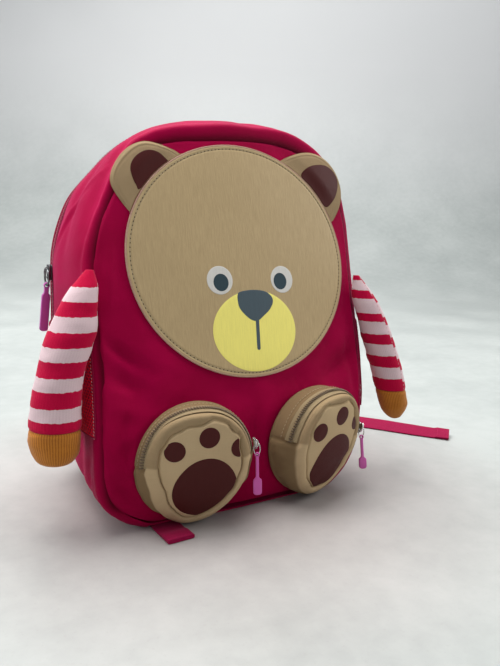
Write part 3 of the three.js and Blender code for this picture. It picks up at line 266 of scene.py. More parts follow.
def quads(R, C, closed=False, base=0):
    r, c = np.meshgrid(np.arange(R - 1), np.arange(C if closed else C - 1), indexing="ij")
    r, c = r.ravel(), c.ravel()
    d = (c + 1) % C
    return np.stack([base + r * C + c, base + r * C + d, base + (r + 1) * C + d, base + (r + 1) * C + c], -1)


def shell(name, outer, inner, mat, closed=False, pole=False, attrs=None, sharp=40, tube=False):
    """A closed wall between two grids of equal size, rows by columns. pole: the first row is one point. tube: not used.
    """
    R, C = outer.shape[:2]
    n = R * C
    F = [quads(R, C, closed), quads(R, C, closed, n)[:, ::-1]]
    cols = np.arange(C if closed else C - 1)
    nxt = (cols + 1) % C
    last = (R - 1) * C
    F.append(np.stack([last + cols, last + nxt, n + last + nxt, n + last + cols], -1))
    if not pole:
        F.append(np.stack([nxt, cols, n + cols, n + nxt], -1))
    if not closed:
        rows = np.arange(R - 1)
        F.append(np.stack([rows * C, (rows + 1) * C, n + (rows + 1) * C, n + rows * C], -1))
        e = C - 1
        F.append(np.stack([(rows + 1) * C + e, rows * C + e, n + rows * C + e, n + (rows + 1) * C + e], -1))
    V = np.concatenate([outer.reshape(-1, 3), inner.reshape(-1, 3)])
    at = {k: np.concatenate([np.asarray(v, float).reshape(n, -1)] * 2) for k, v in (attrs or {}).items()}
    return make(name, V, np.concatenate(F), mat, at, sharp)


def tube(name, rings, mat, attrs=None, caps=True, sharp=40, loop_rows=False):
    """A closed skin through rings of equal count; ends are capped by fans, or the rings close on themselves."""
    R, C = rings.shape[:2]
    F = [quads(R, C, True)]
    V = rings.reshape(-1, 3)
    at = {k: np.asarray(v, float).reshape(R * C, -1) for k, v in (attrs or {}).items()}
    if loop_rows:
        c = np.arange(C)
        d = (c + 1) % C
        F.append(np.stack([(R - 1) * C + c, (R - 1) * C + d, d, c], -1))
        faces = np.concatenate(F).tolist()
    else:
        faces = np.concatenate(F).tolist()
        for r, flip in ((0, True), (R - 1, False)):
            m = rings[r].mean(0)
            if caps and np.abs(rings[r] - m).max() > 1e-3:
                V = np.concatenate([V, m[None]])
                for k in at:
                    at[k] = np.concatenate([at[k], at[k][r * C : r * C + C].mean(0)[None]])
                for c in range(C):
                    a, b = r * C + c, r * C + (c + 1) % C
                    faces.append([b, a, len(V) - 1] if flip else [a, b, len(V) - 1])
    return make(name, V, faces, mat, at, sharp)


def frames(path, up):
    """Tangent, side and normal along a path of points; side is square to the tangent and to up."""
    t = unit(np.gradient(path, axis=0))
    s = unit(np.cross(t, up))
    return t, s, unit(np.cross(s, t))


def cable(name, path, r, mat, n=10, closed=False, attrs=None):
    path = np.asarray(path, float)
    if closed:
        t = unit(np.roll(path, -1, 0) - np.roll(path, 1, 0))
    else:
        t = unit(np.gradient(path, axis=0))
    ref = np.zeros_like(t)
    ref[:] = (0.13, 0.31, 0.94)
    s = unit(np.cross(t, ref))
    k = np.cross(s, t)
    a = np.linspace(0, 2 * np.pi, n, endpoint=False)
    r = np.broadcast_to(np.asarray(r, float), (len(path),))[:, None, None]
    rings = path[:, None] + r * (np.cos(a)[None, :, None] * s[:, None] + np.sin(a)[None, :, None] * k[:, None])
    return tube(name, rings, mat, loop_rows=closed, attrs=attrs)


def capsules(name, centres, dirs, normals, length, width, height, mat, n=5):
    """Many small rounded bars in one mesh: stitches and zip teeth."""
    centres, dirs, normals = (np.asarray(v, float) for v in (centres, dirs, normals))
    dirs = unit(dirs)
    side = unit(np.cross(dirs, normals))
    up = unit(np.cross(side, dirs))
    prof = np.array([[-0.5, 0.0], [-0.42, 0.62], [-0.2, 0.96], [0, 1.0], [0.2, 0.96], [0.42, 0.62], [0.5, 0.0]])
    a = np.linspace(0, 2 * np.pi, n, endpoint=False)
    T = np.array([[p * length, q * width / 2 * np.cos(t), q * height / 2 * np.sin(t)] for p, q in prof[1:-1] for t in a])
    T = np.concatenate([T, [[-length / 2, 0, 0], [length / 2, 0, 0]]])
    F = quads(5, n, True).tolist()
    m = 5 * n
    F += [[(c + 1) % n, c, m] for c in range(n)] + [[4 * n + c, 4 * n + (c + 1) % n, m + 1] for c in range(n)]
    V = centres[:, None] + T[None, :, :1] * dirs[:, None] + T[None, :, 1:2] * side[:, None] + T[None, :, 2:] * up[:, None]
    k = len(T)
    faces = [[i * k + v for v in f] for i in range(len(centres)) for f in F]
    ob = make(name, V.reshape(-1, 3), faces, mat, sharp=80)
    return ob


def resample(path, gap, closed=False):
    """Points a given distance apart along a path, with the distance of each."""
    P = np.concatenate([path, path[:1]]) if closed else path
    d = np.concatenate([[0], np.cumsum(np.linalg.norm(np.diff(P, axis=0), axis=1))])
    n = max(2, int(round(d[-1] / gap)))
    s = np.linspace(0, d[-1], n + 1)[: n if closed else None]
    return np.stack([np.interp(s, d, P[:, k]) for k in range(3)], -1), s


def sew(name, path, normals_at, mat, pitch=3.0, length=2.1, width=0.55, height=0.5, closed=False, sink=0.08):
    """A row of stitches along a path on a surface."""
    P, s = resample(path, pitch, closed)
    Q, _ = resample(path, pitch / 4, closed)
    if closed:
        T = np.roll(P, -1, 0) - np.roll(P, 1, 0)
    else:
        T = np.gradient(P, axis=0)
    N = normals_at(P) if callable(normals_at) else np.broadcast_to(normals_at, P.shape)
    return capsules(name, P + unit(N) * (height / 2 - sink - 0.12), T, N, length, width, height, mat)


def surface_normals(P, closed=False):
    dc = (np.roll(P, -1, 1) - np.roll(P, 1, 1)) if closed else np.gradient(P, axis=1)
    dr = np.gradient(P, axis=0)
    n = np.cross(dr, dc)
    ln = np.linalg.norm(n, axis=-1)
    n = unit(n)
    if ln[0].max() < 1e-4:
        n[0] = unit(n[1].mean(0))
    return n


def flat(P):
    """Lengths along the rows and the columns of a grid, in mm: where the weave runs."""
    a = np.concatenate([np.zeros((1, P.shape[1])), np.cumsum(np.linalg.norm(np.diff(P, axis=0), axis=-1), 0)])
    b = np.concatenate([np.zeros((P.shape[0], 1)), np.cumsum(np.linalg.norm(np.diff(P, axis=1), axis=-1), 1)], 1)
    return np.stack([a, b, 0 * a], -1)


# ---------- materials ----------
class Look:
    """A procedural material: short names for the nodes that it is made of."""

    def __init__(self, name, rough=0.8, metal=0.0, sheen=0.0, sheen_rough=0.4, coat=0.0, coat_rough=0.2, spec=0.5, sheen_tint=(1, 1, 1)):
        self.m = bpy.data.materials.new(name)
        self.m.use_nodes = True
        self.t = self.m.node_tree
        self.b = self.t.nodes["Principled BSDF"]
        for key, val in (("Roughness", rough), ("Metallic", metal), ("Sheen Weight", sheen), ("Sheen Roughness", sheen_rough),
                         ("Coat Weight", coat), ("Coat Roughness", coat_rough), ("Specular IOR Level", spec)):
            self.b.inputs[key].default_value = val
        self.b.inputs["Sheen Tint"].default_value = (*sheen_tint, 1)

    def put(self, sock, v):
        if isinstance(v, bpy.types.NodeSocket):
            self.t.links.new(v, sock)
        elif isinstance(v, (tuple, list)) and len(v) == 3 and sock.type == "RGBA":
            sock.default_value = (*v, 1)
        else:
            sock.default_value = v

    def math(self, op, a, b=0.0, c=0.0, clamp=False):
        n = self.t.nodes.new("ShaderNodeMath")
        n.operation, n.use_clamp = op, clamp
        for s, v in zip(n.inputs, (a, b, c)):
            self.put(s, v)
        return n.outputs[0]

    def add(self, a, b):
        return self.math("ADD", a, b)

    def mul(self, a, b):
        return self.math("MULTIPLY", a, b)

    def attr(self, name):
        n = self.t.nodes.new("ShaderNodeAttribute")
        n.attribute_name = name
        return n.outputs["Vector"]

    def place(self):
        return self.t.nodes.new("ShaderNodeTexCoord").outputs["Object"]

    def xyz(self, v):
        n = self.t.nodes.new("ShaderNodeSeparateXYZ")
        self.put(n.inputs[0], v)
        return n.outputs

    def vec(self, x, y, z):
        n = self.t.nodes.new("ShaderNodeCombineXYZ")
        for s, v in zip(n.inputs, (x, y, z)):
            self.put(s, v)
        return n.outputs[0]

    def noise(self, vec, scale, detail=2.0, rough=0.5, out="Fac"):
        n = self.t.nodes.new("ShaderNodeTexNoise")
        self.put(n.inputs["Vector"], vec)
        for k, v in (("Scale", scale), ("Detail", detail), ("Roughness", rough)):
            n.inputs[k].default_value = v
        return n.outputs[out]

    def voronoi(self, vec, scale, feature="F1"):
        n = self.t.nodes.new("ShaderNodeTexVoronoi")
        n.feature = feature
        self.put(n.inputs["Vector"], vec)
        n.inputs["Scale"].default_value = scale
        return n.outputs["Distance"]

    def ramp(self, fac, stops, interp="LINEAR"):
        n = self.t.nodes.new("ShaderNodeValToRGB")
        r = n.color_ramp
        r.interpolation = interp
        while len(r.elements) < len(stops):
            r.elements.new(0.5)
        for e, (p, c) in zip(r.elements, stops):
            e.position = p
            e.color = (*c, 1) if isinstance(c, tuple) else (c, c, c, 1)
        self.put(n.inputs[0], fac)
        return n.outputs[0]

    def mix(self, fac, a, b, kind="MIX"):
        n = self.t.nodes.new("ShaderNodeMix")
        n.data_type, n.blend_type = "RGBA", kind
        self.put(n.inputs[0], fac)
        self.put(n.inputs[6], a)
        self.put(n.inputs[7], b)
        return n.outputs[2]

    def range(self, v, a, b, c, d):
        n = self.t.nodes.new("ShaderNodeMapRange")
        for s, x in zip(n.inputs, (v, a, b, c, d)):
            self.put(s, x)
        return n.outputs[0]

    def bump(self, height, mm, strength=1.0, below=None):
        n = self.t.nodes.new("ShaderNodeBump")
        n.inputs["Strength"].default_value = strength
        n.inputs["Distance"].default_value = mm * 0.001
        self.put(n.inputs["Height"], height)
        if below is not None:
            self.put(n.inputs["Normal"], below)
        return n.outputs[0]

    def done(self, color, normal=None, rough=None):
        self.put(self.b.inputs["Base Color"], color)
        if normal is not None:
            self.put(self.b.inputs["Normal"], normal)
        if rough is not None:
            self.put(self.b.inputs["Roughness"], rough)
        return self.m

    def plain_weave(self, s, t, pitch):
        """Height of over-and-under threads of a given pitch in mm."""
        a, b = self.math("SINE", self.mul(s, math.pi / pitch)), self.math("SINE", self.mul(t, math.pi / pitch))
        over = self.math("GREATER_THAN", self.mul(a, b), 0.0)
        p, q = self.math("ABSOLUTE", a), self.math("ABSOLUTE", b)
        return self.add(self.mul(over, p), self.mul(self.math("SUBTRACT", 1.0, over), q))


def cloth(name, light, dark, pitch=0.55, rough=0.58, sheen=0.10, tint=(1, 0.28, 0.55), crease=0.35, spec=0.03, wall=None):
    """Woven polyester: fine threads, slow colour drift, small soft creases, and painted shade where wall is given."""
    k = Look(name, rough, sheen=sheen, sheen_rough=0.3, spec=spec, sheen_tint=tint)
    st, P = k.xyz(k.attr("st")), k.place()
    w = k.plain_weave(st[0], st[1], pitch)
    slub = k.noise(k.vec(k.mul(st[0], 0.12), k.mul(st[1], 2.2), 0.0), 1.0, 2)
    slub2 = k.noise(k.vec(k.mul(st[0], 2.2), k.mul(st[1], 0.12), 3.0), 1.0, 2)
    drift = k.noise(P, 22, 3)
    c = k.ramp(k.add(k.mul(drift, 0.6), k.mul(k.add(slub, slub2), 0.2)), [(0.3, dark), (0.68, light)])
    c = k.mix(k.mul(k.math("SUBTRACT", 1.0, w), 0.35), c, dark)
    # painted shade: the colour is multiplied by wall as far as st's third value reaches
    if wall:
        c = k.mix(st[2], c, k.mix(1.0, c, wall, "MULTIPLY"))
    crush = k.noise(P, 60, 4, 0.6)
    n = k.bump(crush, 1.2, crease)
    n = k.bump(w, 0.12, 0.5, n)
    r = k.range(drift, 0.3, 0.7, rough - 0.05, rough + 0.08)
    return k.done(c, n, r)


def leatherette(name, light, dark):
    """Coated cloth with an irregular upright grain."""
    k = Look(name, 0.5, spec=0.22)
    st, P = k.xyz(k.attr("st")), k.place()
    wob = k.mul(k.noise(k.vec(k.mul(st[0], 0.05), k.mul(st[1], 0.05), 0.0), 1.0, 2), 1.4)
    x = k.add(st[0], wob)
    grain = k.noise(k.vec(k.mul(x, 1.15), k.mul(st[1], 0.07), 0.0), 1.0, 3, 0.6)
    fine = k.noise(k.vec(k.mul(x, 3.2), k.mul(st[1], 0.22), 5.0), 1.0, 2, 0.6)
    pores = k.voronoi(k.vec(k.mul(st[0], 1.6), k.mul(st[1], 0.9), 0.0), 1.0)
    g = k.add(k.mul(grain, 0.62), k.mul(fine, 0.38))
    drift = k.noise(P, 14, 3)
    c = k.ramp(g, [(0.38, dark), (0.62, light)])
    c = k.mix(k.range(drift, 0.35, 0.7, 0.0, 0.3), c, dark)
    n = k.bump(g, 0.3, 0.5)
    n = k.bump(pores, 0.08, 0.35, n)
    n = k.bump(drift, 4.0, 0.3, n)
    return k.done(c, n, k.range(g, 0.35, 0.65, 0.58, 0.42))


def paint(name, color, rough=0.5):
    """Printed ink: nearly even, with the grain below showing through."""
    k = Look(name, rough, spec=0.14)
    st, P = k.xyz(k.attr("st")), k.place()
    grain = k.noise(k.vec(k.mul(st[0], 1.15), k.mul(st[1], 0.07), 0.0), 1.0, 3, 0.6)
    speck = k.noise(P, 900, 2)
    dark = tuple(v * 0.93 for v in color)
    c = k.ramp(k.add(k.mul(grain, 0.8), k.mul(speck, 0.2)), [(0.36, dark), (0.6, color)])
    n = k.bump(grain, 0.18, 0.35)
    n = k.bump(speck, 0.05, 0.4, n)
    return k.done(c, n, k.range(speck, 0.3, 0.7, rough - 0.05, rough + 0.08))


def felt(name, light, dark, rib=0.0, fuzz=0.22, rough=0.95, tint=(1, 0.9, 0.8)):
    """Brushed pile, with ribs where rib is a pitch in mm."""
    k = Look(name, rough, sheen=fuzz, sheen_rough=0.5, spec=0.05, sheen_tint=tint)
    st, P = k.xyz(k.attr("st")), k.place()
    tuft = k.noise(P, 700, 3, 0.7)
    lay = k.noise(P, 90, 3, 0.6)
    h = k.add(k.mul(tuft, 0.5), k.mul(lay, 0.5))
    if rib:
        wav = k.add(st[1], k.mul(k.noise(P, 60, 2), 1.5))
        h = k.add(k.mul(h, 0.6), k.mul(k.math("ABSOLUTE", k.math("SINE", k.mul(wav, math.pi / rib))), 0.4))
    c = k.ramp(h, [(0.32, dark), (0.66, light)])
    n = k.bump(lay, 1.2, 0.5)
    n = k.bump(h, 0.35, 0.6, n)
    return k.done(c, n)


def jersey(name, red, white, stops, z0, z1, seam_at, shift):
    """Knitted sleeve: stripes across it, columns of loops along it, and a seam where the stripes miss each other.
    Attribute arm holds the distance down the sleeve, the angle round it and the height of the centre line."""
    k = Look(name, 0.9, sheen=0.12, sheen_rough=0.45, spec=0.05, sheen_tint=(1, 0.75, 0.8))
    a, P = k.xyz(k.attr("arm")), k.place()
    past = k.math("GREATER_THAN", a[1], seam_at)
    ragged = k.mul(k.math("SUBTRACT", k.noise(P, 420, 2), 0.5), 1.6)
    z = k.add(k.add(a[2], k.mul(past, shift)), ragged)
    f = k.range(z, z0, z1, 0.0, 1.0)
    c = k.ramp(f, [(s, white if w else red) for s, w in stops], "CONSTANT")
    col = k.math("ABSOLUTE", k.math("SUBTRACT", k.math("FRACT", k.mul(a[1], 52 / 6.2832)), 0.5))
    row = k.math("SINE", k.mul(k.add(a[0], k.mul(col, 1.3)), 6.2832 / 1.1))
    loops = k.add(k.mul(row, 0.25), k.mul(k.math("SUBTRACT", 0.5, col), 1.2))
    fuzz = k.noise(P, 1300, 3, 0.7)
    c = k.mix(k.range(k.add(k.mul(loops, 0.5), k.mul(fuzz, 0.5)), 0.1, 0.75, 0.34, 0.0), c, k.mix(1.0, c, (0.62, 0.52, 0.55), "MULTIPLY"))
    n = k.bump(k.noise(P, 75, 3, 0.6), 1.6, 0.4)
    n = k.bump(loops, 0.22, 0.5, n)
    n = k.bump(fuzz, 0.25, 0.6, n)
    return k.done(c, n)


def ribbed(name, light, dark, pitch=1.3, rough=0.7, sheen=0.08):
    """Woven tape: ribs across, fine threads along."""
    k = Look(name, rough, sheen=sheen, spec=0.1, sheen_tint=(1, 0.6, 0.75))
    st, P = k.xyz(k.attr("st")), k.place()
    rib = k.math("ABSOLUTE", k.math("SINE", k.mul(st[0], math.pi / pitch)))
    thr = k.math("ABSOLUTE", k.math("SINE", k.mul(st[1], math.pi / 0.5)))
    lump = k.noise(P, 160, 3)
    h = k.add(k.add(k.mul(rib, 0.5), k.mul(thr, 0.25)), k.mul(lump, 0.25))
    c = k.ramp(h, [(0.25, dark), (0.75, light)])
    n = k.bump(lump, 0.5, 0.3)
    n = k.bump(h, 0.3, 0.6, n)
    return k.done(c, n)


def thread(name, color, rough=0.6):
    k = Look(name, rough, spec=0.12, sheen=0.05)
    P = k.place()
    f = k.noise(P, 2500, 2)
    c = k.ramp(f, [(0.3, tuple(v * 0.7 for v in color)), (0.7, color)])
    return k.done(c, k.bump(f, 0.06, 0.6))


def plastic(name, color, rough=0.35, coat=0.0):
    """Moulded plastic: fine pebbling, faint flow marks."""
    k = Look(name, rough, spec=0.5, coat=coat, coat_rough=0.25)
    P = k.place()
    peb, flow = k.noise(P, 2600, 2), k.noise(P, 120, 3)
    c = k.ramp(flow, [(0.3, tuple(v * 0.88 for v in color)), (0.7, color)])
    n = k.bump(flow, 0.3, 0.25)
    n = k.bump(peb, 0.04, 0.4, n)
    return k.done(c, n, k.range(peb, 0.3, 0.7, rough - 0.06, rough + 0.1))


def metal(name, color, rough=0.3):
    """Plated casting: slight tarnish and wear."""
    k = Look(name, rough, 1.0)
    P = k.place()
    wear, fine = k.noise(P, 260, 4, 0.6), k.noise(P, 3000, 2)
    c = k.ramp(wear, [(0.35, tuple(v * 0.72 for v in color)), (0.62, color)])
    return k.done(c, k.bump(fine, 0.03, 0.5), k.range(wear, 0.3, 0.7, rough + 0.12, rough - 0.06))


def floor_look(name):
    """Pale stone worktop, satin, with a painted pink reflection of the bag round it."""
    k = Look(name, 0.42, spec=0.35)
    P = k.place()
    a, b = k.noise(P, 5, 5, 0.6), k.noise(P, 60, 4, 0.6)
    c = k.ramp(k.add(k.mul(a, 0.7), k.mul(b, 0.3)), [(0.36, (0.305, 0.33, 0.322)), (0.62, (0.38, 0.405, 0.395))])
    speck = k.range(k.noise(P, 420, 2), 0.60, 0.72, 0.0, 0.10)
    c = k.mix(speck, c, (0.22, 0.215, 0.20))
    q = k.xyz(P)
    far = k.math("SQRT", k.add(k.mul(q[0], q[0]), k.mul(k.add(q[1], 0.02), k.add(q[1], 0.02))))
    # painted reflected light: the floor is tinted pink within about 0.28 m of the bag
    c = k.mix(k.range(far, 0.10, 0.28, 0.45, 0.0), c, k.mix(1.0, c, (1.0, 0.70, 0.70), "MULTIPLY"))
    c = k.mix(k.range(q[2], 0.25, 0.9, 0.0, 1.0), c, (0.56, 0.565, 0.57))
    return k.done(c, k.bump(b, 0.2, 0.15), k.range(a, 0.3, 0.7, 0.36, 0.5))


MAG, MAG_D = (0.385, 0.0006, 0.052), (0.27, 0.0004, 0.031)
M = {
    # body: wall is the colour of the painted shade along the seams
    "body": cloth("body_cloth_look", MAG, MAG_D, sheen=0.24, wall=(0.30, 0.3, 0.26)),
    "strap": cloth("strap_cloth_look", (0.42, 0.0008, 0.058), (0.30, 0.0005, 0.036), crease=0.5),
    "back": cloth("back_cloth_look", (0.38, 0.0008, 0.055), (0.25, 0.0005, 0.03), pitch=1.5, crease=0.5),
    "disc": leatherette("face_leather_look", (0.50, 0.37, 0.20), (0.42, 0.305, 0.16)),
    "cut": felt("cut_edge_look", (0.52, 0.33, 0.25), (0.38, 0.22, 0.17), fuzz=0.2),
    # tan: wall is the colour of the painted shade on the paw walls, beside the paw zips and round the inset face pieces
    "tan": cloth("tan_cloth_look", (0.585, 0.435, 0.255), (0.475, 0.345, 0.20), pitch=0.4, rough=0.7, sheen=0.05, tint=(1, 0.95, 0.85), crease=0.3, wall=(0.43, 0.39, 0.35)),
    "ear": cloth("ear_cloth_look", (0.385, 0.275, 0.157), (0.305, 0.216, 0.122), pitch=0.4, rough=0.7, sheen=0.05, tint=(1, 0.95, 0.85), crease=0.3),
    "tan_tape": ribbed("tan_tape_look", (0.34, 0.255, 0.145), (0.23, 0.17, 0.095), 0.8),
    "tan_coil": plastic("tan_coil_look", (0.13, 0.085, 0.047), 0.5),
    "brown": paint("brown_print_look", (0.066, 0.010, 0.009)),
    "eye": paint("eye_white_look", (0.68, 0.66, 0.62)),
    "slate": paint("slate_print_look", (0.035, 0.062, 0.078)),
    "nose": paint("nose_print_look", (0.075, 0.105, 0.125)),
    "yellow": paint("muzzle_print_look", (0.94, 0.84, 0.215)),
    "tape": ribbed("zip_tape_look", (0.26, 0.001, 0.04), (0.15, 0.0008, 0.022), 0.9),
    "coil": plastic("zip_coil_look", (0.30, 0.005, 0.05), 0.4),
    "dark_metal": metal("gunmetal_look", (0.16, 0.16, 0.17), 0.34),
    "bright_metal": metal("bright_metal_look", (0.82, 0.82, 0.80), 0.18),
    "pull": plastic("pull_plastic_look", (0.62, 0.10, 0.40), 0.36),
    "pull_dark": plastic("main_pull_look", (0.54, 0.09, 0.42), 0.38),
    "buckle": plastic("buckle_look", (0.16, 0.006, 0.035), 0.38),
    "hand": felt("hand_look", (0.50, 0.185, 0.028), (0.28, 0.085, 0.010), rib=1.6),
    "web": ribbed("webbing_look", (0.28, 0.002, 0.048), (0.15, 0.001, 0.024), 1.1),
    "bind": ribbed("binding_look", (0.36, 0.001, 0.05), (0.22, 0.0008, 0.028), 0.8),
    "mesh": thread("mesh_yarn_look", (0.78, 0.006, 0.03), 0.75),
    "thread_mag": thread("magenta_thread_look", (0.42, 0.01, 0.09)),
    "thread_tan": thread("tan_thread_look", (0.46, 0.38, 0.24)),
    # painted shade for the needle holes of the face stitches
    "hole_shade": thread("hole_shade_look", (0.045, 0.035, 0.022), 0.9),
    "thread_pale": thread("pale_thread_look", (0.72, 0.42, 0.44)),
    "lining": cloth("lining_look", (0.20, 0.19, 0.19), (0.13, 0.125, 0.125), crease=0.2, tint=(1, 1, 1)),
}


# ---------- body ----------
def disc_v(z):
    return (z - DISC["z"]) / math.cos(math.radians(DISC["lean"]))


def covered(x, z):
    """1 where something lies on the front panel, so the cloth keeps flat there."""
    c = 1 - step(np.hypot((x - DISC["x"]) / DISC["rx"], disc_v(z) / DISC["ry"]), 1.0, 1.1)
    for s in ("left", "right"):
        c = np.maximum(c, 1 - step(np.hypot((x - PAW["baseX"][s]) / 43.6, (z - 46.8) / 42), 1.0, 1.12))
        e = EARS[s]
        c = np.maximum(c, 1 - step(np.hypot(x - e["x"].mean(), disc_v(z) - e["v"].mean()), 28, 34))
    return c


PANEL_CREASES = [
    {"x0": -114, "z0": 132, "x1": -84, "z1": 108, "width": 4.0, "depth": 1.7},
    {"x0": -112, "z0": 100, "x1": -90, "z1": 92, "width": 3.2, "depth": -0.8},
    {"x0": -106, "z0": 58, "x1": -100, "z1": 30, "width": 3.0, "depth": -0.7},
    {"x0": -108, "z0": 66, "x1": -92, "z1": 34, "width": 6.5, "depth": 2.2},
    {"x0": -112, "z0": 40, "x1": -98, "z1": 22, "width": 4, "depth": 1.0},
    {"x0": 62, "z0": 92, "x1": 100, "z1": 112, "width": 7, "depth": 1.8},
    {"x0": -6, "z0": 74, "x1": -10, "z1": 30, "width": 7, "depth": 1.2},
    {"x0": 98, "z0": 70, "x1": 94, "z1": 120, "width": 5, "depth": 1.0},
    {"x0": -110, "z0": 150, "x1": -104, "z1": 205, "width": 5, "depth": -0.9},
    {"x0": -40, "z0": 92, "x1": 6, "z1": 88, "width": 8, "depth": 0.8},
]


def front_panel():
    us = np.linspace(0, 37, 297)[:-1]
    r = np.concatenate([np.linspace(0, 0.8, 20), np.linspace(0.82, 0.96, 10), np.linspace(0.966, 1, 9)])[:, None]
    sx, sz = loop(BODY, "fx", us), loop(BODY, "fz", us)
    x, z = -6 + r * (sx + 6), 140 + r * (sz - 140)
    y = front_y(x, z)
    d = (1 - r) * np.hypot(sx + 6, sz - 140)
    free = 1 - covered(x, z)
    P = np.stack([x, 0 * x, z], -1)
    hang = np.stack([x + 0.35 * z, 0 * x, z - 0.2 * x], -1)
    wave = 1.6 * noise(hang, (34, 10, 70), 1) + 1.0 * noise(P, (17, 10, 32), 2) + 0.35 * noise(P, 9, 3)
    pucker = 0.35 * noise(np.stack([us[None] * 14 + 0 * r, 0 * x, 0.2 * d], -1), (5, 5, 5), 4) * np.exp(-d / 7)
    y = y + free * (front_fold(x, z) * 2.4 + 2.5 * folds(PANEL_CREASES, x, z, ("x0", "z0", "x1", "z1"), 1) * (1 - np.exp(-d / 4)) + 1.25 * wave * (1 - np.exp(-d / 10)) + 1.5 * pucker)
    y = y + (0.5 + 2.3 * step(sz, 14, 44)) * np.exp(-((d / 1.9) ** 2))
    out = np.stack([x, y, z], -1)
    # painted shade: the third value darkens a band about 1.3 mm wide along the seam, not near the floor
    st = np.stack([z, x, step(sz, 10, 30) * np.exp(-((d / 1.3) ** 2))], -1)
    ob = shell("front_cloth", out, out + [0, 1.1, 0], M["body"], True, True, {"st": st})
    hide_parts("front_panel")


CREASES = [  # soft lines on the gusset: depth below zero stands out
    {"u0": 29.8, "y0": 79, "u1": 32.9, "y1": 38, "width": 2.6, "depth": -0.9},
    {"u0": 30.4, "y0": 66, "u1": 32.2, "y1": 47, "width": 3.4, "depth": 0.8},
    {"u0": 33.2, "y0": 30, "u1": 30.0, "y1": 17, "width": 3.0, "depth": 1.2},
    {"u0": 0.2, "y0": 40, "u1": 2.6, "y1": 36, "width": 3.0, "depth": 1.0},
    {"u0": 2.2, "y0": 36, "u1": 4.2, "y1": 40, "width": 4.0, "depth": 1.6},
    {"u0": 25.2, "y0": 4, "u1": 22.6, "y1": 30, "width": 6.0, "depth": 1.8},
    {"u0": 24.4, "y0": -10, "u1": 22.8, "y1": 4, "width": 4.0, "depth": 1.4},
    {"u0": 28.6, "y0": 20, "u1": 27.0, "y1": 60, "width": 8.0, "depth": 1.0},
    {"u0": 9.5, "y0": 15, "u1": 12.5, "y1": 60, "width": 8.0, "depth": 1.5},
]


def gusset_skin(u, w, end):
    """Points of the gusset cloth, u round the body and w from the front seam to the far edge, and their depth from the seam."""
    y0 = seam_y(u) + 0.7
    y = y0 + (end - y0) * w
    d, e = y - y0, end - y
    top = np.exp(-((((u + 18.5) % 37) - 18.5) / 4.6) ** 4)
    P = gusset(u, y)
    N = gusset(u, y, 1.0) - P
    rub = 1 - np.exp(-d / 6)
    high = step(P[..., 2], 8, 36)
    out = -(1.0 + 1.9 * high) * np.exp(-((d / 1.6) ** 2)) + 1.0 * bell(d, 5, 3.2) - 0.9 * np.exp(-((e / 1.5) ** 2))
    out = out + rub * (0.85 * noise(P, (26, 40, 26), 5) + 0.5 * noise(P, (12, 18, 12), 6))
    out = out - 1.5 * folds(CREASES, u, y, ("u0", "y0", "u1", "y1"), 20)
    out = out + 0.3 * noise(np.stack([u * 14, 0 * u, d * 0.2], -1), (4, 5, 5), 7) * np.exp(-d / 8)
    out = out + 1.1 * top * bell(d, 6, 6)
    shade = np.clip(P[..., 2] / 6, 0, 1)
    out = out * np.where(P[..., 2] < 6, 0.3 + 0.7 * shade, 1)
    P = P + N * out[..., None]
    P[..., 1] -= 3.4 * top * bell(d, 4.6, 4.2)
    lane = 1 - step(np.abs(P[..., 0] + 75.6), 10.4, 13.5)
    P[..., 2] = np.maximum(P[..., 2], 2.0 * lane * (P[..., 2] < 8))
    return P, N, d


def gusset_cloth():
    w = np.concatenate([np.linspace(0, 0.12, 14), np.linspace(0.14, 0.9, 34), np.linspace(0.92, 1, 8)])[:, None]
    for name, a, b, end, n in (("gusset_cloth", 25.7, 48.2, 83.9, 250), ("gusset_base_cloth", 11.2, 25.7, 103.7, 170)):
        u = np.linspace(a, b, n)[None]
        P, N, d = gusset_skin(u + 0 * w, w + 0 * u, end)
        cut = 0.5 * (np.exp(-((u - a) / 0.07) ** 2) + np.exp(-((b - u) / 0.07) ** 2))
        P = P - N * cut[..., None]
        st = flat(P)
        # painted shade: the third value darkens a band about 1.3 mm wide along the front seam, not near the floor
        st[..., 2] = np.exp(-((d / 1.3) ** 2)) * step(P[..., 2], 6, 24)
        ob = shell(name, P, P - 1.1 * N, M["body"], attrs={"st": st})
        if end > 90:
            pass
        else:
            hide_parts("gusset")


def gusset_line(y, a, b, gap, out=0.0):
    """Evenly spaced points along the gusset at one depth, with outward and forward directions."""
    u = np.linspace(a, b, 1500)
    P = gusset(u, np.full_like(u, y), out)
    s = np.concatenate([[0], np.cumsum(np.linalg.norm(np.diff(P, axis=0), axis=1))])
    n = int(s[-1] / gap)
    k = np.interp((np.arange(n) + 0.5) * s[-1] / n, s, u)
    P = gusset(k, np.full_like(k, y), out)
    N = gusset(k, np.full_like(k, y), out + 1) - P
    return P, N, np.gradient(P, axis=0)


